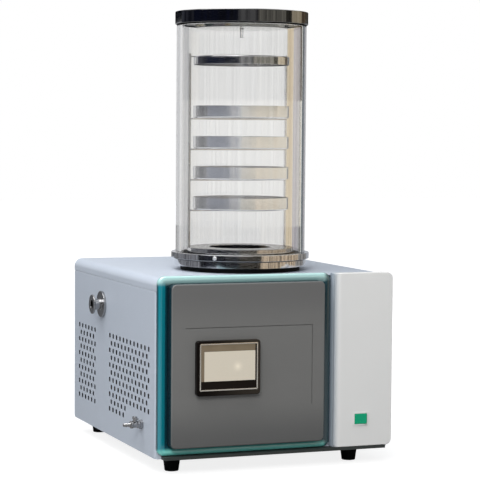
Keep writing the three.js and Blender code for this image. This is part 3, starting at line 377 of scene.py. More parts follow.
def joined(pieces):
    """Several loose pieces as one object."""
    only(pieces[0])
    for piece in pieces[1:]:
        piece.select_set(True)
    bpy.ops.object.join()
    return bpy.context.object


def soften(piece, width, segments=3, angle=30):
    """Rounds every sharp edge of the piece."""
    sharp = {"limit_method": "ANGLE", "angle_limit": math.radians(angle), "use_clamp_overlap": True}
    apply(piece, "BEVEL", width=width, segments=segments, **sharp)


def finish(piece, looks, node_name, which=lambda middle, normal: 0, body="cabinet", angle=35):
    """Gives the piece its finishes, shades it and puts it on its body in place of its CAD node.

    which says, from a face's middle and normal, which of the finishes it gets."""
    for look in [looks] if isinstance(looks, str) else looks:
        piece.data.materials.append(LOOKS[look])
    for face in piece.data.polygons:
        face.material_index = int(which(face.center, face.normal))
    only(piece)
    bpy.ops.object.shade_smooth_by_angle(angle=math.radians(angle))
    apply(piece, "WEIGHTED_NORMAL", keep_sharp=True)
    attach(piece, body)
    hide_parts(node_name)


def round_box(node_name):
    """The corners of a round CAD piece's box, and its radius."""
    low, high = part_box(node_name)
    return low, high, (high.x - low.x) / 2


# ---------------------------------------------------------------- materials
def node(tree, kind, inputs=None, **settings):
    """Adds a node with its settings; inputs are values, or the outputs that feed them."""
    made = tree.nodes.new(kind)
    for key, value in settings.items():
        setattr(made, key, value)
    for key, value in (inputs or {}).items():
        if isinstance(value, bpy.types.NodeSocket):
            tree.links.new(value, made.inputs[key])
        else:
            made.inputs[key].default_value = value
    return made


def blank(name):
    """A new material with its node tree, and the place on the piece in metres."""
    material = bpy.data.materials.new(name)
    material.use_nodes = True
    tree = material.node_tree
    tree.nodes.clear()
    return material, tree, node(tree, "ShaderNodeTexCoord").outputs["Object"]


def toned(code, shade):
    """A colour, in hex or as linear light, made lighter or darker."""
    light = linear(code) if isinstance(code, str) else code
    return (*(min(c * shade, 1.0) for c in light[:3]), 1.0)


def worked(tree, tint, marks, relief, roughness, spread, sockets):
    """Ends a material: its gloss and relief follow the marks that the work left."""
    gloss = {"Value": marks.outputs[0], "From Min": 0.3, "From Max": 0.7}
    gloss.update({"To Min": roughness * (1 - spread), "To Max": roughness * (1 + spread)})
    gloss = node(tree, "ShaderNodeMapRange", gloss)
    bump = {"Height": marks.outputs[0], "Strength": 1.0, "Distance": relief * MM}
    bump = node(tree, "ShaderNodeBump", bump)
    surface = {"Base Color": tint.outputs[2], "Roughness": gloss.outputs[0], "Normal": bump.outputs[0]}
    shader = node(tree, "ShaderNodeBsdfPrincipled", surface | sockets)
    node(tree, "ShaderNodeOutputMaterial", {"Surface": shader.outputs[0]})


def coated(name, code, roughness, grain, relief, cloud=0.03, cloud_size=80, painted_light_turns=(), **sockets):
    """Paint or moulded plastic: a fine grain in relief, cloudy colour and uneven gloss.

    grain and relief are the grain's width and height, and cloud_size the clouds' width, in millimetres.
    Each of painted_light_turns is painted light or shade that the piece turns to: the axis, where it
    starts, where it is whole, and the colour."""
    material, tree, place = blank(name)
    fine_scale, broad_scale = 1 / (grain * MM), 1 / (cloud_size * MM)
    fine = node(tree, "ShaderNodeTexNoise", {"Vector": place, "Scale": fine_scale, "Detail": 2.0})
    broad = node(tree, "ShaderNodeTexNoise", {"Vector": place, "Scale": broad_scale, "Detail": 3.0})
    clouds = {0: broad.outputs[0], 6: toned(code, 1 - cloud), 7: toned(code, 1 + cloud)}
    tint = node(tree, "ShaderNodeMix", clouds, data_type="RGBA")
    for axis, start, whole, other in painted_light_turns:
        parts = node(tree, "ShaderNodeSeparateXYZ", {0: place})
        ramp = {"Value": parts.outputs[axis], "From Min": start, "From Max": whole, "To Max": 0.9}
        share = node(tree, "ShaderNodeMapRange", ramp, interpolation_type="SMOOTHSTEP")
        both = {0: share.outputs[0], 6: tint.outputs[2], 7: linear(other)}
        tint = node(tree, "ShaderNodeMix", both, data_type="RGBA")
    worked(tree, tint, fine, relief, roughness, 0.12, sockets)
    return material


def tooled(name, code, roughness, lines, relief, stretch):
    """Metal with fine tool marks: their spacing and height in millimetres, and how they are drawn out."""
    material, tree, place = blank(name)
    drawn = node(tree, "ShaderNodeMapping", {"Vector": place, "Scale": stretch})
    marks = {"Vector": drawn.outputs[0], "Scale": 1 / (lines * MM), "Detail": 3.0}
    marks = node(tree, "ShaderNodeTexNoise", marks)
    smear = node(tree, "ShaderNodeTexNoise", {"Vector": place, "Scale": 1 / (50 * MM), "Detail": 2.0})
    smears = {0: smear.outputs[0], 6: toned(code, 0.95), 7: toned(code, 1.03)}
    tint = node(tree, "ShaderNodeMix", smears, data_type="RGBA")
    worked(tree, tint, marks, relief, roughness, 0.3, {"Metallic": 1.0})
    return material


def cast_acrylic(name, code, density):
    """Clear cast acrylic: sharp refraction, fine hairlines, a faint tint where light runs far through."""
    material, tree, place = blank(name)
    drawn = node(tree, "ShaderNodeMapping", {"Vector": place, "Scale": (1.0, 1.0, 0.02)}).outputs[0]
    hair = node(tree, "ShaderNodeTexNoise", {"Vector": drawn, "Scale": 1 / (4 * MM), "Detail": 2.0})
    gloss = {"Value": hair.outputs[0], "From Min": 0.35, "From Max": 0.75, "To Min": 0.0, "To Max": 0.03}
    gloss = node(tree, "ShaderNodeMapRange", gloss)
    # faint upright bands, left when the tube is drawn
    band = node(tree, "ShaderNodeTexNoise", {"Vector": drawn, "Scale": 1 / (5 * MM), "Detail": 1.0})
    shade = {"Value": band.outputs[0], "From Min": 0.4, "From Max": 0.6, "To Min": 0.955, "To Max": 1.0}
    shade = node(tree, "ShaderNodeMapRange", shade)
    wall = {"Base Color": shade.outputs[0], "Roughness": gloss.outputs[0], "IOR": 1.49}
    glass = node(tree, "ShaderNodeBsdfPrincipled", wall | {"Transmission Weight": 1.0})
    # lamps shine through the wall, so that what stands inside is lit
    clear = node(tree, "ShaderNodeBsdfTransparent", {"Color": (0.96, 0.97, 0.98, 1.0)})
    path = node(tree, "ShaderNodeLightPath")
    both = {0: path.outputs["Is Shadow Ray"], 1: glass.outputs[0], 2: clear.outputs[0]}
    wall = node(tree, "ShaderNodeMixShader", both)
    tint = node(tree, "ShaderNodeVolumeAbsorption", {"Color": linear(code), "Density": density})
    node(tree, "ShaderNodeOutputMaterial", {"Surface": wall.outputs[0], "Volume": tint.outputs[0]})
    return material


def display_face(name, code):
    """A lit liquid crystal display behind glass: fine dot rows and a painted highlight, a soft lighter
    patch right of its middle.
    """
    material, tree, place = blank(name)
    low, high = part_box("screen_glass")
    glow = low + Vector(((high.x - low.x) * 0.66, 0, (high.z - low.z) * 0.50))
    reach = 14 * MM
    centred = {"Vector": place, "Location": tuple(-c / reach for c in glow), "Scale": (1 / reach,) * 3}
    centred = node(tree, "ShaderNodeMapping", centred).outputs[0]
    glow = node(tree, "ShaderNodeTexGradient", {"Vector": centred}, gradient_type="QUADRATIC_SPHERE")
    # the real dots are 0.2 mm apart; they are drawn at 1.2 mm so that they show
    rows = node(tree, "ShaderNodeTexNoise", {"Vector": place, "Scale": 1 / (1.2 * MM), "Detail": 1.0})
    dots = {0: rows.outputs[0], 6: toned(code, 0.95), 7: toned(code, 1.03)}
    tint = node(tree, "ShaderNodeMix", dots, data_type="RGBA")
    # painted highlight: the colour lifts towards the patch's middle
    both = {0: glow.outputs[1], 6: tint.outputs[2], 7: toned(code, 1.35)}
    lit = node(tree, "ShaderNodeMix", both, data_type="RGBA")
    shader = {"Base Color": lit.outputs[2], "Roughness": 0.12, "IOR": 1.5}
    shader = node(tree, "ShaderNodeBsdfPrincipled", shader)
    node(tree, "ShaderNodeOutputMaterial", {"Surface": shader.outputs[0]})
    return material


LOOKS = {}


def make_looks(settings):
    """Every finish on the dryer, by the name of the record's material slot or of the finish."""
    cabinet, front, screen, chamber = settings.cabinet, settings.front, settings.screen, settings.chamber
    frame_low, frame_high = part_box("front_bezel")
    column_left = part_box("front_column")[0].x
    screen_left, screen_right = (corner.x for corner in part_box("screen_bezel"))
    steel = chamber.steel
    level = "Specular IOR Level"
    # how tool marks run: not drawn out, round the upright axis, round a line along X, and lengthways
    even, turned_up, turned_across, drawn_up = (1, 1, 1), (1, 1, 18), (18, 1, 1), (1, 1, 0.1)

    # polyester powder coat, sprayed and baked: satin, with the faint waviness of orange peel
    LOOKS["cabinet_paint"] = coated("powder_coat_blue_grey", cabinet.paint, 0.42, 4, 0.02, 0.03, 50)
    # epoxy primer on the sheets' hidden side: flat, nearly black; it also serves as painted shade that
    # darkens the cabinet's inside and the holes' walls, so that the air holes look dark
    LOOKS["primer"] = coated("epoxy_primer_black_painted_shade", "#202224", 0.8, 2, 0.03, 0.1)
    # powder coat, white; painted shade turns the long bend at its left bluish grey
    bend = [(X, column_left + 15 * MM, column_left - 4 * MM, "#62788c")]
    LOOKS["column_paint"] = coated(
        "powder_coat_white_painted_shade", cabinet.column_paint, 0.45, 4, 0.02, 0.02, painted_light_turns=bend
    )
    # stoved enamel on the base pan: dark, half matt, a little dusty
    LOOKS["dark_steel"] = coated("stoved_enamel_dark", cabinet.sill_paint, 0.55, 3, 0.03, 0.12)
    # ABS from a polished mould: a clear gloss; painted shade darkens the left band's inner slope, its
    # outer edge and the right band, and painted highlights pale the head and foot
    painted_light_bands = [
        (X, frame_low.x + 13.5 * MM, frame_low.x + 17.5 * MM, "#07242f"),
        (X, frame_low.x + 3 * MM, frame_low.x + 0.8 * MM, "#14404c"),
        (Z, frame_high.z - 20 * MM, frame_high.z - 9 * MM, "#b0d8d6"),
        (Z, frame_low.z + 16 * MM, frame_low.z + 7 * MM, "#74d0c6"),
        (X, frame_high.x - 17 * MM, frame_high.x - 7 * MM, "#0a3038"),
    ]
    lacquer = {level: 0.8, "Coat Weight": 1.0, "Coat Roughness": 0.12}
    LOOKS["teal_plastic"] = coated(
        "moulded_abs_teal_painted_light", front.frame_colour, 0.18, 6, 0.003, 0.04, painted_light_turns=painted_light_bands, **lacquer
    )
    # ABS from a spark-eroded mould: an even matt grain; the real one is 0.3 mm, drawn at 1.5 mm to show
    # painted shade: the panel darkens towards its head and, more, towards its foot
    painted_shade_ends = [
        (Z, frame_high.z - 110 * MM, frame_high.z - 30 * MM, "#606060"),
        (Z, frame_low.z + 110 * MM, frame_low.z + 20 * MM, "#535454"),
    ]
    LOOKS["grey_plastic"] = coated(
        "moulded_abs_grey_painted_shade", front.panel_colour, 0.5, 1.5, 0.05, 0.03, 30, painted_light_turns=painted_shade_ends
    )
    # painted shade on the grey panel's side walls: dark navy for the shade in the channel round the panel
    LOOKS["panel_edge"] = coated("moulded_abs_panel_wall_painted_shade", front.panel_wall_shade_colour, 0.3, 3, 0.02, 0.05)
    # ABS from a polished mould, black: mirror-like with slight sink waves
    # painted reflection: the housing turns warm brown from its left towards its right
    painted_reflection = [(X, screen_left + 10 * MM, screen_right, "#332e28")]
    LOOKS["black_plastic"] = coated(
        "moulded_abs_black_painted_reflection", screen.housing, 0.2, 8, 0.01, 0.1, painted_light_turns=painted_reflection, **{level: 0.08}
    )
    # cast acrylic, black, polished: deep gloss that mirrors the room
    polish = {"IOR": 2.1, "Coat Weight": 1.0, "Coat Roughness": 0.03, "Coat IOR": 1.8}
    LOOKS["lid_acrylic"] = coated("cast_acrylic_black", chamber.lid_colour, 0.09, 12, 0.01, 0.1, **polish)
    # cast acrylic, rubbed down where it was glued: milky and flat
    LOOKS["frosted_acrylic"] = coated("frosted_acrylic_grey", "#9a9a98", 0.5, 3, 0.03, 0.05)
    # cast acrylic where the saw went: grey and rough
    LOOKS["sawn_acrylic"] = coated("sawn_acrylic_edge", "#6a6c6c", 0.6, 1, 0.05, 0.1)
    # nitrile rubber, moulded: nearly matt, dusty grey-black
    LOOKS["black_rubber"] = coated("moulded_nitrile_black", "#08090a", 0.7, 2, 0.04, 0.15, **{level: 0.12})
    # stainless steel, turned and buffed: mirror bright with hair-fine marks round the axis
    LOOKS["polished_steel"] = tooled("buffed_stainless_steel", steel, 0.10, 12, 0.006, turned_up)
    # anodised trim, champagne: a warm satin mirror
    LOOKS["trim_steel"] = tooled("anodised_trim_champagne", "#f8f2e8", 0.14, 6, 0.004, even)
    # stainless steel, turned: greyer, with round marks; the grey is painted shade, the polished steel's
    # colour at half, on the vacuum port and the drain valve
    painted_shade_steel = toned(steel, 0.5)
    LOOKS["turned_steel"] = tooled("turned_stainless_steel_painted_shade", painted_shade_steel, 0.16, 5, 0.01, turned_across)
    # stainless steel strip with sheared edges: dull, drawn lengthways; the left one gets painted shade,
    # darker, and the right one a painted highlight, brighter
    painted_shade_tone, bright = toned(steel, 0.75), toned(steel, 1.25)
    LOOKS["sheared_steel_left"] = tooled("sheared_stainless_steel_painted_shade", painted_shade_tone, 0.3, 4, 0.01, drawn_up)
    LOOKS["sheared_steel_right"] = tooled("sheared_stainless_steel_painted_lit", bright, 0.3, 4, 0.01, drawn_up)
    # stainless steel, pressed and lightly rolled: soft, drawn-out reflections
    LOOKS["rolled_steel"] = tooled("rolled_stainless_steel", toned(steel, 1.15), 0.2, 12, 0.006, turned_up)
    # stainless steel, brushed round its axis: dark grey, with a soft shine; the colour is taken down to a
    # tenth of the steel's, painted shade on the rack base's top inside the chamber
    LOOKS["brushed_steel"] = tooled("brushed_stainless_steel_painted_shade", toned(steel, 0.10), 0.2, 8, 0.02, turned_up)
    # drawn stainless steel, unpolished, inside the cold trap: dull and dark
    LOOKS["trap_steel"] = tooled("drawn_stainless_steel", "#4c4e52", 0.45, 6, 0.03, turned_up)
    # machine screws, bead blasted: an even bright grey
    LOOKS["screw_steel"] = tooled("blasted_stainless_steel", "#e6e6e8", 0.42, 1, 0.04, even)
    # pressed aluminium fins: bright edges in tight rows
    LOOKS["aluminium"] = tooled("pressed_aluminium_fins", "#b8babd", 0.4, 3, 0.4, (0.05, 1, 0.05))
    # drawn copper tube, a little tarnished
    LOOKS["copper"] = tooled("drawn_copper_tube", "#b46c46", 0.3, 4, 0.03, even)
    LOOKS["clear_acrylic"] = cast_acrylic("cast_acrylic_clear", "#c6c6c2", 17.0)
    LOOKS["clear_hose"] = cast_acrylic("extruded_hose_clear", "#dfe4e6", 10.0)
    # polyurethane foam, poured: open, chalky, yellowed
    LOOKS["foam"] = coated("poured_foam_cream", "#ddd6b8", 0.9, 5, 0.8, 0.12, 30)
    # brushed enamel: black, with slow brush waves
    LOOKS["compressor_paint"] = coated("brushed_enamel_black", "#1b1c1e", 0.4, 6, 0.1, 0.1)
    # polycarbonate, moulded green: an even colour under a soft gloss
    LOOKS["green_plastic"] = coated(
        "moulded_polycarbonate_green", settings.switch.rocker_colour, 0.25, 4, 0.01, 0.04, **{level: 0.3}
    )
    LOOKS["screen_face"] = display_face("display_glass_lit_painted_highlight", screen.display)
    # brown painted shade round the display's top and left, as of a recess, and black print beyond, under a
    # high gloss
    LOOKS["screen_border"] = coated(
        "painted_shade_glass_brown", screen.painted_shade_border, 0.08, 20, 0.002, 0.15, 30, **{level: 0.3}
    )
    LOOKS["screen_mask"] = coated(
        "printed_glass_black", "#17120e", 0.08, 20, 0.002, 0.1, 30, **{level: 0.1}
    )


# ---------------------------------------------------------------- camera and stage
def placed(name, data, turn):
    """Puts a camera or a lamp in the scene."""
    item = bpy.data.objects.new(name, data)
    item.matrix_world = turn
    bpy.context.scene.collection.objects.link(item)
    return item


class DRYER_OT_camera(bpy.types.Operator):
    """Places the camera"""

    bl_idname = "dryer.camera"
    bl_label = "Camera"

    def execute(self, context):
        chosen = context.scene.freeze_dryer.camera
        level = Vector((math.cos(chosen.yaw), -math.sin(chosen.yaw), 0))
        forward = Vector((math.sin(chosen.yaw), math.cos(chosen.yaw), 0))
        ahead = math.cos(chosen.pitch) * forward - Vector((0, 0, math.sin(chosen.pitch)))
        upright = level.cross(ahead)
        right = math.cos(chosen.roll) * level + math.sin(chosen.roll) * upright
        up = math.cos(chosen.roll) * upright - math.sin(chosen.roll) * level
        turn = Matrix((right, up, -ahead)).transposed().to_4x4()
        lens = bpy.data.cameras.new("camera")
        lens.lens = chosen.lens
        lens.sensor_width = 36
        lens.clip_end = 50
        context.scene.camera = placed("camera", lens, Matrix.Translation(Vector(chosen.place)) @ turn)
        return {"FINISHED"}


def lamp(name, place, aim, width, height, power, tint):
    """A soft rectangular lamp that faces a point."""
    light = bpy.data.lights.new(name, "AREA")
    light.shape = "RECTANGLE"
    light.size = width
    light.size_y = height
    light.energy = power
    light.color = tint
    turn = (Vector(aim) - Vector(place)).to_track_quat("-Z", "Y").to_matrix().to_4x4()
    placed(name, light, Matrix.Translation(place) @ turn)


def card(name, seen, start, end, foot, head, bright, dark, streak):
    """A tall curved card round the object that only shows in reflections or in the tube's edges.

    seen is "mirror" for reflections seen straight on, "inside" to show in pieces behind the tube too,
    and "edge" for the tube's own edges. start and end are degrees round the chamber's axis from +X, and
    streak is the width of the card's upright bands."""
    radius = 2.55 if seen == "mirror" else 2.6  # the first stand in front of the others
    across = Matrix.Rotation(math.radians(start), 4, "Z") @ Vector((radius, 0, 0))
    item = point(name, (AXIS.x + across.x, AXIS.y + across.y, foot))
    bpy.ops.mesh.extrude_vertices_move(TRANSFORM_OT_translate={"value": (0, 0, head - foot)})
    bpy.ops.mesh.select_all(action="SELECT")
    sweep = {"steps": max(int(abs(end - start) / 3), 2), "angle": math.radians(start - end)}
    bpy.ops.mesh.spin(center=(AXIS.x, AXIS.y, 0), axis=(0, 0, 1), **sweep)
    done()
    material, tree, place = blank(name + "_cloth")
    drawn = node(tree, "ShaderNodeMapping", {"Vector": place, "Scale": (1.0, 1.0, 0.02)})
    bands = {"Vector": drawn.outputs[0], "Scale": 1 / streak, "Detail": 2.0}
    bands = node(tree, "ShaderNodeTexNoise", bands)
    sharp = {"Value": bands.outputs[0], "From Min": 0.38, "From Max": 0.62}
    sharp = node(tree, "ShaderNodeMapRange", sharp)
    cloth = {0: sharp.outputs[0], 6: linear(dark), 7: linear(bright)}
    tint = node(tree, "ShaderNodeMix", cloth, data_type="RGBA")
    glow = node(tree, "ShaderNodeEmission", {"Color": tint.outputs[2], "Strength": 1.0})
    # seen straight through the tube, a card that lights the trays isn't there
    away = node(tree, "ShaderNodeBsdfTransparent")
    path = node(tree, "ShaderNodeLightPath")
    mirrored = 1.0 if seen == "edge" else path.outputs["Glossy Depth"]
    there = node(tree, "ShaderNodeMath", {0: mirrored, 1: 0.5}, operation="GREATER_THAN")
    both = node(tree, "ShaderNodeMixShader", {0: there.outputs[0], 1: away.outputs[0], 2: glow.outputs[0]})
    node(tree, "ShaderNodeOutputMaterial", {"Surface": both.outputs[0]})
    item.data.materials.append(material)
    for ray in ("camera", "diffuse", "shadow", "volume_scatter"):
        setattr(item, f"visible_{ray}", False)
    item.visible_glossy = seen != "edge"
    item.visible_transmission = seen != "mirror"


# the room that shows in the bright metal: start and end in degrees, foot and head in metres
ROOM = [
    ("floor_back", "mirror", -265, -236, -0.4, 0.33, "#8a8c90", "#303236", 0.2),
    ("floor_side", "inside", -236, -182, -0.4, 0.33, "#9a9ca2", "#1c1e24", 0.12),
    ("floor_left", "inside", -182, -112, -0.4, 0.33, "#10141f", "#040509", 0.5),
    ("floor_mid", "inside", -112, -76, -0.4, 0.33, "#302c26", "#040404", 0.2),
    ("floor_right", "inside", -76, 0, -0.4, 0.33, "#e8d2b4", "#3e362e", 0.1),
    ("floor_far", "inside", 0, 30, -0.4, 0.33, "#a09e9a", "#5a5856", 0.3),
    ("window_back", "mirror", -291, -236, 0.33, 1.0, "#dcdcde", "#c8cacf", 0.2),
    ("window_side", "inside", -236, -195, 0.33, 0.75, "#c0c0c0", "#303236", 0.09),
    ("window_left", "inside", -195, -134, 0.33, 0.75, "#bcc0ca", "#9a9ea8", 0.2),
    ("window_blend", "inside", -134, -110, 0.33, 0.75, "#dcdcdc", "#b4b8c0", 0.1),
    ("window_mid", "inside", -110, -84, 0.33, 0.75, "#f8f2e4", "#dcd8d0", 0.2),
    ("window_right", "inside", -84, 30, 0.33, 0.75, "#fffdf2", "#fff0d8", 0.2),
    ("window_end", "mirror", 12, 30, 0.33, 0.75, "#9ca2a8", "#7c8288", 0.2),
    ("wall_back", "mirror", -291, -236, 1.0, 2.4, "#0c1018", "#06080c", 0.6),
    ("wall_side", "inside", -236, -200, 0.75, 2.4, "#4c4e58", "#1c1e26", 0.3),
    ("wall_left", "inside", -200, -117, 0.75, 2.4, "#0e1630", "#060a12", 0.3),
    ("wall_mid", "inside", -117, -84, 0.75, 2.4, "#868686", "#3c3c40", 0.4),
    ("wall_right", "inside", -84, -31, 0.75, 2.4, "#b4b0a4", "#6a6862", 0.2),
    ("wall_post", "inside", -31, -17, 0.75, 2.4, "#5c5a50", "#3c3a34", 0.2),
    ("wall_far", "inside", -17, 12, 0.75, 2.4, "#fff0d6", "#c4b494", 0.08),
    ("wall_end", "inside", 12, 30, 0.75, 2.4, "#7c6c58", "#4c4236", 0.3),
    ("end_low", "mirror", 30, 69, -0.4, 1.0, "#b8bcc2", "#a0a4aa", 0.2),
    ("end_far", "mirror", 30, 45, 1.0, 2.4, "#6e6658", "#38342e", 0.2),
    ("end_back", "mirror", 45, 69, 1.0, 2.4, "#14161a", "#08080a", 0.3),
    ("edge_cream", "edge", 57, 60.6, -0.4, 2.4, "#f0e2c8", "#e0ceb2", 0.05),
    ("edge_lilac", "edge", 46, 57, -0.4, 2.4, "#c4c0c8", "#aeaab4", 0.05),
    ("edge_green", "edge", 33, 46, -0.4, 2.4, "#6c7678", "#586266", 0.05),
    ("edge_left", "edge", 81, 105, -0.4, 2.4, "#eeeef0", "#d6d8dc", 0.06),
]


class DRYER_OT_stage(bpy.types.Operator):
    """Sets the background, the floor, the lamps and the cards"""

    bl_idname = "dryer.stage"
    bl_label = "Stage"

    def execute(self, context):
        context.scene.view_settings.view_transform = "Standard"
        self.background(context.scene)
        self.floor()
        aim = (0.02, -0.05, 0.42)
        lamp("top_softbox", (-0.7, -0.3, 2.6), aim, 2.2, 2.0, 58, (1.0, 1.0, 1.0))
        lamp("key_softbox", (-1.4, -3.0, 2.2), aim, 1.8, 1.2, 78, (1.0, 0.99, 0.97))
        lamp("left_softbox", (-2.8, -0.6, 1.5), aim, 1.6, 1.6, 12, (0.93, 0.97, 1.0))
        for name, *rest in ROOM:
            card(name + "_card", *rest)
        return {"FINISHED"}

    def background(self, scene):
        """A soft pale light that shows as white, straight on, in a reflection and through glass."""
        world = bpy.data.worlds.new("studio")
        world.use_nodes = True
        tree = world.node_tree
        tree.nodes.clear()
        path = node(tree, "ShaderNodeLightPath").outputs
        seen = {0: path["Is Camera Ray"], 1: path["Is Glossy Ray"]}
        seen = node(tree, "ShaderNodeMath", seen, operation="MAXIMUM").outputs[0]
        seen = {0: seen, 1: path["Is Transmission Ray"]}
        seen = node(tree, "ShaderNodeMath", seen, operation="MAXIMUM").outputs[0]
        soft = node(tree, "ShaderNodeBackground", {"Color": (0.93, 0.96, 1.0, 1.0), "Strength": 0.38})
        white = node(tree, "ShaderNodeBackground", {"Color": (1.0, 1.0, 1.0, 1.0), "Strength": 1.0})
        both = node(tree, "ShaderNodeMixShader", {0: seen, 1: soft.outputs[0], 2: white.outputs[0]})
        node(tree, "ShaderNodeOutputWorld", {"Surface": both.outputs[0]})
        scene.world = world

    def floor(self):
        """A pale floor, lit like the object, and white where it is seen except for the shadow."""
        bpy.ops.object.select_all(action="DESELECT")
        bpy.ops.mesh.primitive_plane_add(size=24, location=(0, 0, 0))
        floor = settle("floor")
        material, tree, place = blank("paper_roll_white")
        path = node(tree, "ShaderNodeLightPath").outputs
        fibre = node(tree, "ShaderNodeTexNoise", {"Vector": place, "Scale": 1 / (25 * MM), "Detail": 2.0})
        greys = {0: fibre.outputs[0], 6: (0.28, 0.28, 0.28, 1), 7: (0.32, 0.32, 0.32, 1)}
        tint = node(tree, "ShaderNodeMix", greys, data_type="RGBA")
        paper = node(tree, "ShaderNodeBsdfDiffuse", {"Color": tint.outputs[2]})
        # the glow is whole far off, and leaves room for the object's shadow close by
        reach = 3
        centred = node(tree, "ShaderNodeMapping", {"Vector": place, "Scale": (1 / reach,) * 3}).outputs[0]
        ball = node(tree, "ShaderNodeTexGradient", {"Vector": centred}, gradient_type="SPHERICAL")
        fade = {"Value": ball.outputs[1], "From Min": 0.3, "From Max": 0.75, "To Min": 1.0, "To Max": 0.84}
        fade = node(tree, "ShaderNodeMapRange", fade).outputs[0]
        # through glass it is a little darker
        seen = {0: path["Is Transmission Ray"], 1: 0.83, 2: path["Is Camera Ray"]}
        seen = node(tree, "ShaderNodeMath", seen, operation="MULTIPLY_ADD").outputs[0]
        lift = node(tree, "ShaderNodeMath", {0: seen, 1: fade}, operation="MULTIPLY").outputs[0]
        glow = node(tree, "ShaderNodeEmission", {"Strength": lift})
        total = node(tree, "ShaderNodeAddShader", {0: paper.outputs[0], 1: glow.outputs[0]})
        node(tree, "ShaderNodeOutputMaterial", {"Surface": total.outputs[0]})
        floor.data.materials.append(material)


# ---------------------------------------------------------------- cabinet
def open_shell(piece, sheet, gone):
    """Takes away the faces that pass the test and gives the rest a wall, inwards."""
    edit(piece)
    pick("FACE", gone)
    bpy.ops.mesh.delete(type="FACE")
    done()
    apply(piece, "SOLIDIFY", thickness=sheet, offset=-1, use_even_offset=True, use_rim=True)


def hidden_side(*centre):
    """A test for a sheet's hidden faces, which look at the cabinet's middle from well off it."""
    return lambda middle, normal: normal.dot(Vector(centre) - middle) > 30 * MM


def air_slots(low, high, across, columns, feet, chosen):
    """Rounded tools for the air slots of a panel: one is made and copied along its rows."""
    through = X + Y - across
    centre, past = (low[across] + high[across]) / 2, 4 * MM
    middles = [centre + (i - (columns - 1) / 2) * chosen.slot_pitch for i in range(columns)]
    corners = []
    for middle in middles:
        for foot in feet:
            corner = Vector(low)
            corner[across] = middle - chosen.slot_width / 2
            corner[through] -= past
            corner.z = foot
            corners.append(corner)
    end = Vector(high)
    end[across] = middles[0] + chosen.slot_width / 2
    end[through] += past
    end.z = feet[0] + chosen.slot_height
    first = rounded(block("slot_tool", corners[0], end), (edges(through), chosen.slot_width * 0.45, 4))
    return joined([first] + [copied(first, "slot_tool", corner - corners[0]) for corner in corners[1:]])


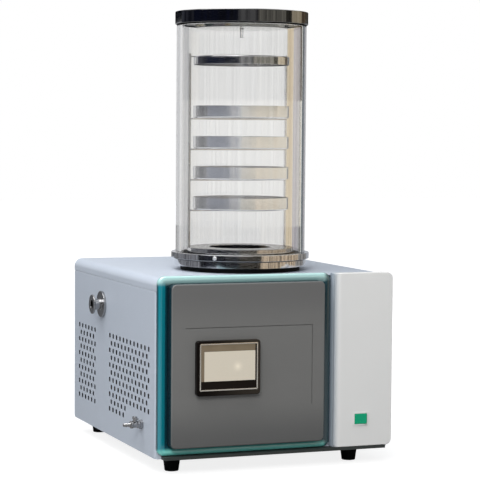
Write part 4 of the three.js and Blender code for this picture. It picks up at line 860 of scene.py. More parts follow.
class DRYER_OT_cabinet(bpy.types.Operator):
    """Builds the cover, the side and rear panels and the base pan"""

    bl_idname = "dryer.cabinet"
    bl_label = "Cabinet"

    def execute(self, context):
        chosen = context.scene.freeze_dryer.cabinet
        self.cover(chosen)
        self.left_panel(chosen)
        self.right_panel(chosen)
        self.rear_panel(chosen)
        self.pan(chosen)
        return {"FINISHED"}

    def cover(self, chosen):
        """The top sheet, bent down at both sides, with a round hole for the cold trap."""
        low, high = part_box("top_cover")
        cover = block("top_cover_sheet", low, high)
        rounded(cover, (edges(Y, z=high.z), chosen.shoulder, 10))
        open_shell(cover, chosen.sheet, lambda middle, normal: min(normal.y, normal.z) < -0.9)
        hole_radius = round_box("rack_base")[2] + 1 * MM
        top = (AXIS.x, AXIS.y, high.z + 10 * MM)
        cut(cover, rod("hole", (AXIS.x, AXIS.y, low.z), top, hole_radius, 96))
        soften(cover, 0.5 * MM, 2)
        inside = hidden_side((low.x + high.x) / 2, (low.y + high.y) / 2, low.z - 300 * MM)
        finish(cover, ["cabinet_paint", "primer"], "top_cover", inside)

    def side_shell(self, name, node_name, outside, chosen):
        """A side panel folded at its head and front. outside is -1 on the left and 1 on the right."""
        low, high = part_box(node_name)
        outer = low.x if outside < 0 else high.x
        panel = block(name, low, high)
        rounded(
            panel,
            (edges(X, y=high.y, z=low.z), chosen.lower_corner, 3),
            (edges(Z, x=outer, y=low.y), chosen.front_fold, 6),
            (edges(Y, x=outer, z=high.z), chosen.fold * 0.9, 3),
        )
        open_shell(
            panel,
            chosen.sheet,
            lambda middle, normal: normal.x * outside < -0.9 or normal.y > 0.1 or normal.z < -0.1,
        )
        # the front fold stops above the base pan
        inner = outer - outside * 2 * chosen.sheet
        far = inner - outside * 100 * MM
        relief_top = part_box("base_pan")[1].z + CLEARANCE
        relief_low = (min(inner, far), low.y - MM, low.z - MM)
        relief_high = (max(inner, far), low.y + 6 * MM, relief_top)
        cut(panel, block("relief", relief_low, relief_high))
        return panel, low, high

    def left_panel(self, chosen):
        """The left side, with its air holes and the holes for the vacuum port and the drain."""
        name = "left_side_panel"
        panel, low, high = self.side_shell("left_side_sheet", name, -1, chosen)
        # a row is two groups of holes, each counted forwards from its rear end's place behind the front;
        # odd rows stand half a pitch forwards and are one hole short
        rear_group, front_group, top_row = 511.5 * MM, 292.5 * MM, 205.5 * MM
        centres = []
        for row in range(chosen.vent_rows):
            odd = row % 2
            front = low.y - CLEARANCE - odd * chosen.vent_pitch / 2
            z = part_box("base_pan")[0].z + top_row - row * chosen.vent_row
            # the last two rows leave room for the drain valve
            front_holes = 5 if row >= chosen.vent_rows - 2 else 12 - odd
            for rear, holes in ((rear_group, 6 - odd), (front_group, front_holes)):
                centres += [(front + rear - i * chosen.vent_pitch, z) for i in range(holes)]
        reach, half = 3 * MM, chosen.vent / 2
        y, z = centres[0]
        tool = block("vent_tool", (low.x - reach, y - half, z - half), (low.x + reach, y + half, z + half))
        rounded(tool, (edges(X), chosen.vent * 0.22, 2))
        tools = [tool] + [copied(tool, "vent_tool", (0, v - y, w - z)) for v, w in centres[1:]]
        port_low, port_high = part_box("vacuum_port")
        drain_low, drain_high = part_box("drain_valve_body")
        port_place = (port_low.y + port_high.y) / 2, (port_low.z + port_high.z) / 2
        drain_place = (drain_low.y + drain_high.y) / 2, drain_low.z + DRAIN_RISE
        for hole, place, radius in (("port", port_place, 11.8 * MM), ("drain", drain_place, 5.3 * MM)):
            tools.append(rod(hole + "_hole", (low.x - reach, *place), (high.x - reach, *place), radius))
        cut(panel, joined(tools))
        # the holes' walls are in primer too, as painted shade that keeps the holes dark; they are what
        # looks across the sheet away from its rim
        inside, margin = hidden_side(0, (low.y + high.y) / 2, (low.z + high.z) / 2), 12 * MM

        def in_primer_painted_shade(middle, normal):
            off_rim = all(low[i] + margin < middle[i] < high[i] - margin for i in (Y, Z))
            return inside(middle, normal) or (abs(normal.x) < 0.5 and off_rim)

        finish(panel, ["cabinet_paint", "primer"], name, in_primer_painted_shade)

    def right_panel(self, chosen):
        """The right side, with two rows of air slots."""
        name = "right_side_panel"
        panel, low, high = self.side_shell("right_side_sheet", name, 1, chosen)
        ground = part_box("base_pan")[0].z
        sheet_low = Vector((high.x - chosen.sheet, low.y - CLEARANCE, low.z))
        sheet_high = Vector((high.x, high.y + 2 * CLEARANCE + chosen.sheet, high.z))
        cut(panel, air_slots(sheet_low, sheet_high, Y, 9, [ground + 66 * MM, ground + 136 * MM], chosen))
        inside = hidden_side(0, (low.y + high.y) / 2, (low.z + high.z) / 2)
        finish(panel, ["cabinet_paint", "primer"], name, inside)

    def rear_panel(self, chosen):
        """The rear sheet, with two rows of air slots and the mains inlet's opening."""
        low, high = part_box("rear_panel")
        panel = block("rear_sheet", low, high)
        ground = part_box("base_pan")[0].z
        inlet_low, inlet_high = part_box("power_inlet")
        middle = (inlet_low + inlet_high) / 2
        ends = low.y - 4 * MM, high.y + 4 * MM
        opening = block_about("inlet_opening", middle, 17.3 * MM, 13.3 * MM, *ends)
        cut(panel, air_slots(low, high, X, 7, [ground + 120 * MM, ground + 190 * MM], chosen), opening)
        soften(panel, 0.3 * MM, 2, 60)
        finish(panel, "cabinet_paint", "rear_panel")

    def pan(self, chosen):
        """The base pan, with the dark sill that shows under the front."""
        low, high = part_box("base_pan")
        cover_low, cover_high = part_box("top_cover")
        front = cover_low.y
        pan = block("base_pan_sheet", (low.x, front, low.z), high)
        rounded(pan, (edges(Y, z=low.z), chosen.fold, 3))
        open_shell(pan, chosen.sheet, facing(Z, 1))
        inset, overlap = 12 * MM, 1.7 * MM
        sill_high = (cover_high.x - inset, front + overlap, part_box("front_column")[0].z - CLEARANCE)
        sill = block("sill", (cover_low.x + inset, low.y, low.z), sill_high)
        rounded(sill, (edges(Z, y=low.y), 2 * MM, 3))
        cut(pan, sill, operation="UNION")
        looks = ["dark_steel", "cabinet_paint"]
        behind = lambda middle, normal: middle.y > front - 0.5 * MM
        finish(pan, looks, "base_pan", behind)


class DRYER_OT_feet(bpy.types.Operator):
    """Builds one tapered rubber foot and copies it to the four corners"""

    bl_idname = "dryer.feet"
    bl_label = "Feet"

    def execute(self, context):
        taper = context.scene.freeze_dryer.cabinet.foot_taper
        names = ["foot_front_left", "foot_front_right", "foot_rear_left", "foot_rear_right"]
        low, high, radius = round_box(names[0])
        middle = (low + high) / 2
        ends = (middle.x, middle.y, low.z), (middle.x, middle.y, high.z)
        foot = rod(names[0] + "_rubber", *ends, radius - taper, 48, radius)
        edit(foot)
        pick("FACE", facing(Z, -1))
        # a flat tread round a shallow hollow
        bpy.ops.mesh.inset(thickness=5 * MM, depth=0)
        bpy.ops.mesh.inset(thickness=0.6 * MM, depth=-3 * MM)
        done()
        soften(foot, 1.2 * MM, 3, 50)
        feet = [foot]
        for name in names[1:]:
            other_low, other_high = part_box(name)
            feet.append(copied(foot, name + "_rubber", (other_low + other_high) / 2 - middle))
        for name, item in zip(names, feet):
            finish(item, "black_rubber", name)
        return {"FINISHED"}


# ---------------------------------------------------------------- front
def hollow_back(piece, front, back, wall):
    """Sinks a cover's back towards its front, so that a wall is left."""
    edit(piece)
    pick("FACE", facing(Y, 1))
    bpy.ops.mesh.inset(thickness=wall, depth=0)
    bpy.ops.mesh.extrude_region_move(TRANSFORM_OT_translate={"value": (0, front + wall - back, 0)})
    done()


class DRYER_OT_front(bpy.types.Operator):
    """Builds the coloured frame, the grey panel and the white column"""

    bl_idname = "dryer.front"
    bl_label = "Front"

    def execute(self, context):
        chosen = context.scene.freeze_dryer.front
        self.frame_moulding(chosen)
        self.panel(chosen)
        self.column(chosen)
        return {"FINISHED"}

    def frame_moulding(self, chosen):
        """The coloured frame: from the outside over a round crest and down a long slope to the panel."""
        low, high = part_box("front_bezel")
        crest = chosen.crest
        moulding = block("front_frame", (low.x, high.y - crest * 0.35, low.z), high)
        rounded(moulding, (edges(Y), chosen.frame_corner, 10))
        edit(moulding)
        pick("FACE", facing(Y, -1))
        reach, lift = 0.0, 0.0
        for degrees in (12, 26, 42, 60, 90):
            a = math.radians(degrees)
            next_reach, next_lift = crest * 0.8 * (1 - math.cos(a)), crest * 0.65 * math.sin(a)
            bpy.ops.mesh.inset(thickness=next_reach - reach, depth=next_lift - lift)
            reach, lift = next_reach, next_lift
        for drop in (0.06, 0.14):
            bpy.ops.mesh.inset(thickness=crest * 0.3, depth=-crest * drop)
        reach += crest * 0.6
        # the rest is a straight slope, drawn in about the middle so that the corners stay round
        slope_end = 24.9 * MM
        middle = (low + high) / 2
        half_width, half_height = (high.x - low.x) / 2, (high.z - low.z) / 2
        bpy.ops.mesh.extrude_region_move(TRANSFORM_OT_translate={"value": (0, crest * 0.6, 0)})
        across = (half_width - slope_end) / (half_width - reach)
        upwards = (half_height - slope_end) / (half_height - reach)
        bpy.ops.transform.resize(value=(across, 1, upwards), center_override=(middle.x, 0, middle.z))
        done()
        opening = block_like("opening", "front_panel", CLEARANCE, low.y - 10 * MM, high.y + 10 * MM)
        cut(moulding, rounded(opening, (edges(Y), chosen.panel_corner, 8)))
        finish(moulding, "teal_plastic", "front_bezel", angle=40)

    def panel(self, chosen):
        """The grey panel, with the screen's window and the groove round the controls."""
        low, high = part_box("front_panel")
        panel = rounded(block("front_panel_moulding", low, high), (edges(Y), chosen.panel_corner, 8))
        hollow_back(panel, low.y, high.y, chosen.panel_wall)
        rounded(panel, (outline_at(Y, low.y), chosen.panel_edge, 4))
        window = block_like("window", "screen_bezel", -6.7 * MM, low.y - 2 * MM, high.y)
        left, right = low.x + 27.8 * MM, high.x - 25.7 * MM
        top, foot = high.z - 82.7 * MM, low.z + 73.9 * MM
        front, floor, width = low.y - MM, low.y + chosen.groove_depth, chosen.groove_width
        across = block("groove", (left, front, top - width), (right, floor, top))
        down = block("groove", (right - width, front, foot), (right, floor, top))
        cut(across, down, operation="UNION")
        cut(panel, window, across)
        # the side walls take the dark navy painted shade
        rim = low.y + chosen.panel_edge * 0.9
        painted_shade_wall = lambda middle, normal: middle.y > rim and abs(normal.y) < 0.5
        looks = ["grey_plastic", "panel_edge"]
        finish(panel, looks, "front_panel", painted_shade_wall, angle=40)

    def column(self, chosen):
        """The white column, with the power switch's opening."""
        low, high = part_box("front_column")
        column = rounded(
            block("front_column_cover", low, high),
            (edges(Z, x=low.x, y=low.y), chosen.column_round, 10),
            (edges(Y, x=high.x), chosen.column_corner, 8),
        )
        hollow_back(column, low.y, high.y, chosen.panel_wall)
        soften(column, 2.2 * MM, 4, 50)
        switch_low, switch_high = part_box("switch_frame")
        middle = (switch_low + switch_high) / 2
        ends = low.y - 5 * MM, low.y + 6 * MM
        cut(column, block_about("opening", middle, 15 * MM, 11.9 * MM, *ends))
        finish(column, "column_paint", "front_column", angle=40)


class DRYER_OT_screen(bpy.types.Operator):
    """Builds the touch screen's housing, trim and glass"""

    bl_idname = "dryer.screen"
    bl_label = "Screen"

    def execute(self, context):
        chosen = context.scene.freeze_dryer.screen
        self.housing(chosen)
        self.trim(chosen)
        self.glass()
        return {"FINISHED"}

    def housing(self, chosen):
        """The black housing, with a pocket for the trim and the glass."""
        low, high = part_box("screen_bezel")
        pocket_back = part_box("screen_trim")[1].y + CLEARANCE
        panel_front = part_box("front_panel")[0].y
        housing = rounded(
            block("screen_housing", low, (high.x, panel_front - CLEARANCE, high.z)),
            (edges(Y), chosen.corner, 6),
            (outline_at(Y, low.y), 2 * MM, 4),
        )
        body = block_like("body", "screen_bezel", -7 * MM, low.y + 6 * MM, high.y)
        cut(housing, body, operation="UNION")
        cut(housing, block_like("pocket", "screen_trim", CLEARANCE, low.y - 2 * MM, pocket_back))
        finish(housing, "black_plastic", "screen_bezel", angle=40)

    def trim(self, chosen):
        """The bright ring round the glass."""
        trim = rounded(block("screen_trim_ring", *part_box("screen_trim")), (edges(Y), 1.5 * MM, 3))
        edit(trim)
        pick("FACE", lambda middle, normal: abs(normal.y) > 0.9)
        bpy.ops.mesh.inset(thickness=chosen.trim_band, depth=0)
        bpy.ops.mesh.bridge_edge_loops()
        done()
        soften(trim, 0.4 * MM, 2, 50)
        finish(trim, "trim_steel", "screen_trim")

    def glass(self):
        """The cover glass, with the display behind it, brown painted shade round the display's top and
        left and black print beyond.
        """
        low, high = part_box("screen_glass")
        left, right = low.x + 7.2 * MM, high.x - 3.2 * MM
        foot, head = low.z + 15.8 * MM, high.z - 13.4 * MM
        glass = block("screen_cover_glass", low, high)
        edit(glass)
        upright = [((x, 0, 0), (1, 0, 0)) for x in (left, right)]
        level = [((0, 0, z), (0, 0, 1)) for z in (foot, head)]
        for place, across in upright + level:
            bpy.ops.mesh.select_all(action="SELECT")
            bpy.ops.mesh.bisect(plane_co=place, plane_no=across)
        done()
        soften(glass, 0.3 * MM, 2, 60)

        def shade_and_print_at(middle, normal):
            if left < middle.x < right and foot < middle.z < head and normal.y < -0.9:
                return 0
            return 2 if middle.z < foot or middle.x > right else 1

        looks = ["screen_face", "screen_border", "screen_mask"]
        finish(glass, looks, "screen_glass", shade_and_print_at)


class DRYER_OT_switch(bpy.types.Operator):
    """Builds the power switch's frame and its rocker"""

    bl_idname = "dryer.switch"
    bl_label = "Power switch"

    def execute(self, context):
        low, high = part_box("switch_frame")
        pivot = Vector(((low.x + high.x) / 2, low.y + 6.5 * MM, (low.z + high.z) / 2))
        self.frame_with_pocket(low, high, pivot)
        self.rocker(pivot, context.scene.freeze_dryer.switch.tilt)
        return {"FINISHED"}

    def frame_with_pocket(self, low, high, pivot):
        """The rim and the body behind it, hollowed for the rocker and its pins."""
        front = low.y
        rim = rounded(
            block("switch_rim", low, (high.x, front + 1.2 * MM, high.z)),
            (edges(Y), 2 * MM, 4),
            (outline_at(Y, front), 0.5 * MM, 2),
        )
        body = block_about("body", pivot, 14.7 * MM, 11.6 * MM, front + 0.6 * MM, high.y)
        pocket = block_about("pocket", pivot, 13.5 * MM, 10.4 * MM, front - 4 * MM, front + 15.5 * MM)
        pin = Vector((0, 0, 11.3 * MM))
        cut(rim, body, operation="UNION")
        cut(rim, pocket, rod("pins", pivot - pin, pivot + pin, 1.9 * MM, 24))
        finish(rim, "column_paint", "switch_frame")

    def rocker(self, pivot, tilt):
        """The green rocker: two faces that meet in a shallow valley, on an axle."""
        half, rise, front, back = 12.7 * MM, 10.1 * MM, pivot.y - 8.4 * MM, pivot.y + 4 * MM
        rocker = block_about("rocker", pivot, half, rise, front, back)
        edit(rocker)
        bpy.ops.mesh.select_all(action="SELECT")
        bpy.ops.mesh.bisect(plane_co=pivot, plane_no=(1, 0, 0))
        pick("EDGE", edges(Z, x=pivot.x, y=front))
        bpy.ops.transform.translate(value=(0, half * math.tan(tilt), 0))
        done()
        rear_corner = edges(Z, y=back)
        off_middle = lambda middle, run: rear_corner(middle, run) and abs(middle.x - pivot.x) > half / 2
        rounded(rocker, (off_middle, 5 * MM, 2))
        soften(rocker, 0.7 * MM, 3, 50)
        axle = Vector((0, 0, 11 * MM))
        cut(rocker, rod("axle", pivot - axle, pivot + axle, 1.6 * MM, 24), operation="UNION")
        lean = Matrix.Rotation(-tilt, 4, "Z")
        rocker.data.transform(Matrix.Translation(pivot) @ lean @ Matrix.Translation(-pivot))
        finish(rocker, "green_plastic", "power_rocker", body="power_rocker")


# ---------------------------------------------------------------- chamber
def ring(name, node_name, wall):
    """A plain turned ring the size of a CAD ring, with a wall."""
    low, high, outer = round_box(node_name)
    inner = outer - wall
    return turned(name, [(inner, low.z), (outer, low.z), (outer, high.z), (inner, high.z)])


def off_axis(place):
    """How far a place is from the chamber's axis."""
    return (place - AXIS).xy.length


class DRYER_OT_cold_trap(bpy.types.Operator):
    """Builds the cold trap and the gasket under its flange"""

    bl_idname = "dryer.cold_trap"
    bl_label = "Cold trap"

    def execute(self, context):
        wall = context.scene.freeze_dryer.chamber.trap_wall
        low, high, flange = round_box("cold_trap_vessel")
        outer = round_box("rack_base")[2]
        inner, neck, outlet = outer - wall, outer + 10 * MM, 3 * MM
        flange_foot = high.z - 12 * MM
        neck_foot = flange_foot - 4 * MM
        floor = low.z + wall
        outline = [(outlet, floor), (inner, floor), (inner, high.z), (flange, high.z)]
        outline += [(flange, flange_foot), (neck, flange_foot), (neck, neck_foot)]
        outline += [(outer, neck_foot), (outer, low.z), (outlet, low.z)]
        vessel = turned("cold_trap_pot", outline)
        port_low, port_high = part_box("vacuum_port")
        port = (port_low + port_high) / 2
        out = Vector((port_high.x - AXIS.x, port.y - AXIS.y, 0)).normalized()
        centre = Vector((AXIS.x, AXIS.y, port.z))
        ends = [centre + out * (outer + reach) for reach in (-20 * MM, 20 * MM)]
        cut(vessel, rod("bore", *ends, PORT_BORE, 32))
        soften(vessel, 0.5 * MM, 3, 50)
        well, mouth = inner + 0.2 * MM, high.z - 2 * MM
        in_well = lambda middle, normal: middle.z < mouth and off_axis(middle) < well
        looks = ["polished_steel", "trap_steel"]
        finish(vessel, looks, "cold_trap_vessel", in_well)

        # the gasket's outer lip stands up round the vessel's neck, to the flange: black rubber put as
        # painted shade where the neck lies in shade under the flange
        gasket_low, gasket_high, rim = round_box("trap_gasket")
        inner, lip, lip_top = rim - 12 * MM, neck + CLEARANCE, flange_foot - CLEARANCE
        outline = [(inner, gasket_low.z), (rim, gasket_low.z), (rim, lip_top), (lip, lip_top)]
        outline += [(lip, gasket_high.z), (inner, gasket_high.z)]
        gasket = turned("trap_gasket_ring", outline)
        soften(gasket, 0.6 * MM, 3, 50)
        finish(gasket, "black_rubber", "trap_gasket")
        return {"FINISHED"}


class DRYER_OT_chamber(bpy.types.Operator):
    """Builds the seal, the base ring with its screws and the clear tube"""

    bl_idname = "dryer.chamber"
    bl_label = "Chamber"

    def execute(self, context):
        wall = context.scene.freeze_dryer.chamber.tube_wall
        seal = ring("chamber_seal_ring", "chamber_seal", 18 * MM)
        soften(seal, 0.4 * MM, 2, 50)
        finish(seal, "black_rubber", "chamber_seal")
        self.base_ring(wall)
        tube = ring("chamber_clear_tube", "chamber_tube", wall)
        soften(tube, 0.8 * MM, 3, 50)
        finish(tube, "clear_acrylic", "chamber_tube")
        return {"FINISHED"}

    def base_ring(self, wall):
        """The ring round the tube's foot, and the three socket screws in it."""
        low, high, outer = round_box("chamber_base_ring")
        tube = (TUBE_HIGH.x - TUBE_LOW.x) / 2
        lip, seat, ledge = tube - wall - 2 * MM, tube + CLEARANCE, low.z + 3 * MM
        outside = [(lip, low.z), (outer, low.z), (outer, high.z)]
        base_ring = turned("chamber_base_collar", outside + [(seat, high.z), (seat, ledge), (lip, ledge)])
        soften(base_ring, 0.5 * MM, 3, 50)
        screw_low, screw_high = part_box("ring_screw_1")
        start, end, head = outer - 5.4 * MM, outer + 2.6 * MM, 4 * MM
        outline = [(0, start), (head, start), (head, end - 1.2 * MM), (head * 0.72, end), (0, end)]
        screw = turned("screw", outline, (0, 0, 0), X, 32)
        soften(screw, 0.4 * MM, 3)
        cut(screw, rod("socket", (end - 1.4 * MM, 0, 0), (end + MM, 0, 0), 1.9 * MM, 6))
        centre = Matrix.Translation((AXIS.x, AXIS.y, (screw_low.z + screw_high.z) / 2))
        bores = []
        for i, degrees in enumerate((-132, -12, 108), 1):
            turn = centre @ Matrix.Rotation(math.radians(degrees), 4, "Z")
            item = copied(screw, f"collar_screw_{i}", turn=turn)
            finish(item, "screw_steel", f"ring_screw_{i}")
            bore = rod("bore", (outer - 5.7 * MM, 0, 0), (outer + 9 * MM, 0, 0), 4.3 * MM, 24)
            bore.data.transform(turn)
            bores.append(bore)
        bpy.data.objects.remove(screw)
        cut(base_ring, *bores)
        finish(base_ring, "polished_steel", "chamber_base_ring")


class DRYER_OT_lid(bpy.types.Operator):
    """Builds the lid, its seal and the boss under it"""

    bl_idname = "dryer.lid"
    bl_label = "Lid"

    def execute(self, context):
        chosen = context.scene.freeze_dryer.chamber
        seal = ring("lid_seal_ring", "lid_seal", chosen.tube_wall)
        soften(seal, 0.6 * MM, 3, 50)
        finish(seal, "black_rubber", "lid_seal")

        low, high, radius = round_box("lid")
        lid = turned("lid_disc", [(0, low.z), (radius, low.z), (radius, high.z), (0, high.z)])

        def at_rim(height):
            return lambda middle, run: near(middle.z, height) and off_axis(middle) > radius * 0.99

        rounded(lid, (at_rim(high.z), chosen.lid_chamfer, 5), (at_rim(low.z), 0.8 * MM, 3))
        finish(lid, ["lid_acrylic", "frosted_acrylic"], "lid", facing(Z, -1))

        low, high, disc = round_box("lid_boss")
        foot, plug = high.z - 7.7 * MM, 3.5 * MM
        outline = [(0, high.z), (disc, high.z), (disc, foot), (plug, foot), (plug, low.z), (0, low.z)]
        boss = turned("lid_boss_disc", outline, steps=96)
        soften(boss, 1.2 * MM, 3, 50)

        def sawn(middle, normal):
            on_edge = near(middle.z, foot, 1.3 * MM) and off_axis(middle) > disc * 0.9
            return on_edge and -0.95 < normal.z < -0.1

        finish(boss, ["clear_acrylic", "sawn_acrylic"], "lid_boss", sawn)
        return {"FINISHED"}


class DRYER_OT_rack(bpy.types.Operator):
    """Builds the rack's base, uprights, bars, trays and top shelf"""

    bl_idname = "dryer.rack"
    bl_label = "Rack and trays"

    def execute(self, context):
        chosen = context.scene.freeze_dryer.rack
        low, high, outer = round_box("rack_base")
        inner, hole, under = outer - chosen.plate, chosen.opening, high.z - chosen.plate
        outside = [(hole, high.z), (outer, high.z), (outer, low.z)]
        base = turned("rack_base_cup", outside + [(inner, low.z), (inner, under), (hole, under)])
        soften(base, 0.9 * MM, 3, 50)
        on_top = lambda middle, normal: normal.z > 0.5
        finish(base, ["polished_steel", "brushed_steel"], "rack_base", on_top)

        for side in ("left", "right"):
            name = f"rack_upright_{side}"
            upright = block(name + "_bar", *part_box(name))
            soften(upright, 0.7 * MM, 3)
            finish(upright, f"sheared_steel_{side}", name)

        low, high, radius = round_box("tray_1")
        bar = block("tray_bar_1", *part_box("shelf_bar_1"))
        soften(bar, 0.6 * MM, 2)
        tray = self.pan("drying_tray_1", low.z, high.z, radius, chosen)
        trays, bars = [tray], [bar]
        for i in (2, 3, 4):
            move = (0, 0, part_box(f"tray_{i}")[0].z - low.z)
            trays.append(copied(tray, f"drying_tray_{i}", move))
            bars.append(copied(bar, f"tray_bar_{i}", move))
        for i, (tray, bar) in enumerate(zip(trays, bars), 1):
            finish(tray, "rolled_steel", f"tray_{i}")
            finish(bar, "polished_steel", f"shelf_bar_{i}")

        # the top shelf is a tray turned over, with an ear at each upright
        low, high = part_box("rack_top_shelf")
        shelf = self.pan("top_shelf_pan", high.z, low.z, radius, chosen)
        upright_low, upright_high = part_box("rack_upright_left")
        ears_low = (low.x, upright_low.y, high.z - 2 * chosen.tray_wall)
        ears = block("ears", ears_low, (high.x, upright_high.y, high.z - 0.4 * MM))
        ends = (AXIS.x, AXIS.y, low.z - MM), (AXIS.x, AXIS.y, high.z + MM)
        cut(ears, rod("hollow", *ends, radius - 3 * MM, 96))
        cut(shelf, ears, operation="UNION")
        finish(shelf, "polished_steel", "rack_top_shelf")
        return {"FINISHED"}

    def pan(self, name, floor, rim, radius, chosen):
        """A round pan from its floor to its rim, upturned where the rim is lower."""
        up = 1 if rim > floor else -1
        wall, bend, bends = chosen.tray_wall, chosen.tray_corner, 4

        def corner(arc):
            angles = [math.pi / 2 * k / bends for k in range(bends + 1)]
            return [
                (radius - bend + arc * math.sin(a), floor + up * (bend - arc * math.cos(a)))
                for a in angles
            ]

        walls = [(radius, rim), (radius - wall, rim)]
        inside = [*reversed(corner(bend - wall)), (0, floor + up * wall)]
        made = turned(name, [(0, floor), *corner(bend), *walls, *inside], steps=128)
        return rounded(made, (outline_at(Z, rim), 0.35 * MM, 2))


# ---------------------------------------------------------------- fittings
class DRYER_OT_vacuum_port(bpy.types.Operator):
    """Builds the flanged vacuum port"""

    bl_idname = "dryer.vacuum_port"
    bl_label = "Vacuum port"

    def execute(self, context):
        low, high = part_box("vacuum_port")
        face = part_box("top_cover")[0].x - CLEARANCE
        plate = face - 5 * MM
        bore, neck, flange, foot = PORT_BORE, 11.5 * MM, 20 * MM, 27 * MM
        # the flange has a flat rim and a conical back, and a plate lies on the cabinet's side
        outline = [(bore, low.x), (flange, low.x), (flange, low.x + 3 * MM), (neck, low.x + 5.3 * MM)]
        outline += [(neck, plate), (foot, plate), (foot, face), (neck, face)]
        outline += [(neck, high.x), (bore, high.x)]
        port = turned("vacuum_port_flange", outline, (low + high) / 2, X, 72)
        soften(port, 0.7 * MM, 3, 35)
        finish(port, "turned_steel", "vacuum_port", angle=30)
        return {"FINISHED"}


class DRYER_OT_drain_valve(bpy.types.Operator):
    """Builds the drain valve and its lever"""

    bl_idname = "dryer.drain_valve"
    bl_label = "Drain valve"

    def execute(self, context):
        low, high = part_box("drain_valve_body")
        lever_low, lever_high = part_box("drain_lever")
        lever_x = (lever_low.x + lever_high.x) / 2
        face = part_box("top_cover")[0].x - CLEARANCE
        y, z = (low.y + high.y) / 2, low.z + DRAIN_RISE
        nut_end = face - 5 * MM
        body_end = nut_end - 19 * MM
        step = (low.x + body_end) / 2
        bore, barb_root, barb, waist, body, stem = 2 * MM, 3.2 * MM, 4.2 * MM, 6.4 * MM, 7.5 * MM, 5 * MM
        # from the hose end: two barbs, the body with its waist, and the stem through the cabinet's side
        barbs = [
            (bore, low.x),
            (barb_root, low.x),
            (barb, step - 0.5 * MM),
            (barb_root, step),
            (barb, body_end - 0.5 * MM),
            (barb, body_end),
        ]
        body_outline = [
            (6.6 * MM, body_end),
            (body, body_end + 1.2 * MM),
            (body, body_end + 5 * MM),
            (waist, body_end + 6 * MM),
            (waist, nut_end - 6 * MM),
            (body, nut_end - 5 * MM),
            (body, face - 1 * MM),
        ]
        stem_outline = [(stem, face - 1 * MM), (stem, high.x), (bore, high.x)]
        outline = barbs + body_outline + stem_outline
        valve = turned("drain_valve_fitting", outline, (0, y, z), X, 48)
        nut = rod("nut", (nut_end, y, z), (face, y, z), 9 * MM, 6)
        edit(nut)
        pick("FACE", facing(X, -1))
        bpy.ops.mesh.inset(thickness=0.8 * MM, depth=0.4 * MM)
        done()
        cut(nut, rod("through", (nut_end - 2 * MM, y, z), (face + 2 * MM, y, z), 4 * MM, 24))
        boss = rod("boss", (lever_x, y, z + 5 * MM), (lever_x, y, high.z), 4 * MM, 32)
        cut(valve, nut, boss, operation="UNION")
        finish(valve, "turned_steel", "drain_valve_body", angle=30)
        self.lever(lever_low, lever_high, lever_x, y)
        return {"FINISHED"}

    def lever(self, low, high, x, y):
        """The lever's round hub and its flat blade."""
        hub = rod("drain_lever_arm", (x, y, low.z), (x, y, high.z), 5 * MM, 40)
        rounded(hub, (outline_at(Z, high.z), 1.2 * MM, 3))
        half, top = 3 * MM, low.z + (high.z - low.z) * 0.6
        blade = block("blade", (x - half, low.y, low.z), (x + half, y, top))
        rounded(blade, (edges(Z, y=low.y), 2.5 * MM, 4))
        soften(blade, 0.4 * MM, 2, 50)
        cut(hub, blade, operation="UNION")
        finish(hub, "turned_steel", "drain_lever", body="drain_lever")


class DRYER_OT_inlet(bpy.types.Operator):
    """Builds the mains inlet with its three pins"""

    bl_idname = "dryer.inlet"
    bl_label = "Mains inlet"

    def execute(self, context):
        low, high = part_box("power_inlet")
        middle = (low + high) / 2
        flange, pin_end = high.y - 2.5 * MM, high.y - 3.5 * MM
        inlet = rounded(
            block("mains_inlet", (low.x, flange, low.z), high),
            (edges(Y), 4 * MM, 5),
            (outline_at(Y, high.y), 0.6 * MM, 2),
        )
        body = block_about("body", middle, 17 * MM, 13 * MM, low.y, flange + MM)
        pocket = block_about("pocket", middle, 15 * MM, 11 * MM, high.y - 17 * MM, high.y + MM)
        upper_corner = lambda place, run: along(run, Y) and place.z > middle.z
        cut(inlet, body, operation="UNION")
        cut(inlet, rounded(pocket, (upper_corner, 4 * MM, 3)))
        for across, rise in ((-7, -3), (0, 3), (7, -3)):
            place = middle + Vector((across * MM, 0, rise * MM))
            pin = block_about("pin", place, 1 * MM, 2.5 * MM, high.y - 19.5 * MM, pin_end)
            cut(inlet, rounded(pin, (outline_at(Y, pin_end), 0.5 * MM, 2)), operation="UNION")
        finish(inlet, "black_plastic", "power_inlet")
        return {"FINISHED"}


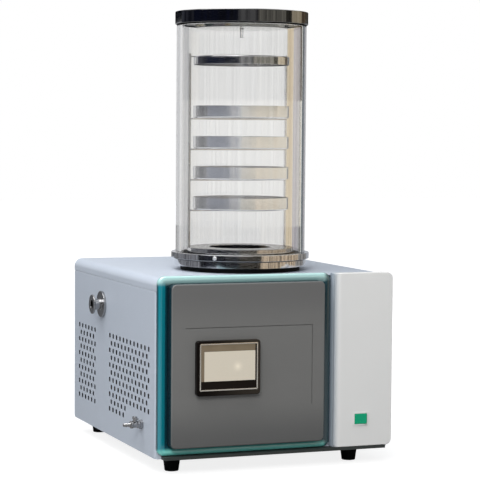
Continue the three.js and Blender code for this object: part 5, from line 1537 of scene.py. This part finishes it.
class DRYER_OT_inner_parts(bpy.types.Operator):
    """Gives the hidden CAD parts their finishes"""

    bl_idname = "dryer.inner_parts"
    bl_label = "Inner parts"

    def execute(self, context):
        finishes = {
            "copper": ["evaporator_coil", "filter_drier", "suction_pipe", "liquid_pipe", "discharge_pipe"],
            "foam": ["trap_insulation"],
            "brushed_steel": ["vacuum_pipe"],
            "clear_hose": ["drain_pipe"],
            "aluminium": ["condenser"],
            "black_plastic": ["fan_housing", "fan_rotor"],
            "compressor_paint": ["compressor"],
            "black_rubber": [f"compressor_mount_{i}" for i in (1, 2, 3)],
            "grey_plastic": ["control_box"],
        }
        for look, names in finishes.items():
            for name in names:
                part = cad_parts[name]
                part.data.materials.clear()
                part.data.materials.append(LOOKS[look])
        return {"FINISHED"}


STEPS = [
    DRYER_OT_camera,
    DRYER_OT_stage,
    DRYER_OT_cabinet,
    DRYER_OT_feet,
    DRYER_OT_front,
    DRYER_OT_screen,
    DRYER_OT_switch,
    DRYER_OT_cold_trap,
    DRYER_OT_chamber,
    DRYER_OT_lid,
    DRYER_OT_rack,
    DRYER_OT_vacuum_port,
    DRYER_OT_drain_valve,
    DRYER_OT_inlet,
    DRYER_OT_inner_parts,
]


class DRYER_PT_sidebar(bpy.types.Panel):
    """Lists the steps and their settings"""

    bl_idname = "DRYER_PT_sidebar"
    bl_label = "Freeze dryer"
    bl_space_type = "VIEW_3D"
    bl_region_type = "UI"
    bl_category = "Freeze dryer"

    def draw(self, context):
        settings = context.scene.freeze_dryer
        for name in ("camera", "cabinet", "front", "screen", "switch", "chamber", "rack"):
            group = getattr(settings, name)
            box = self.layout.box()
            box.label(text=name.title())
            for key in group.__annotations__:
                box.prop(group, key)
        for step in STEPS:
            self.layout.operator(step.bl_idname)


CLASSES = [
    CameraSettings,
    CabinetSettings,
    FrontSettings,
    ScreenSettings,
    ChamberSettings,
    RackSettings,
    SwitchSettings,
    DryerSettings,
    *STEPS,
    DRYER_PT_sidebar,
]


def register():
    for cls in CLASSES:
        bpy.utils.register_class(cls)
    bpy.types.Scene.freeze_dryer = PointerProperty(type=DryerSettings)


def unregister():
    del bpy.types.Scene.freeze_dryer
    for cls in reversed(CLASSES):
        bpy.utils.unregister_class(cls)


def main():
    register()
    make_looks(bpy.context.scene.freeze_dryer)
    for step in STEPS:
        group, name = step.bl_idname.split(".")
        getattr(getattr(bpy.ops, group), name)()


if __name__ == "__main__":
    main()
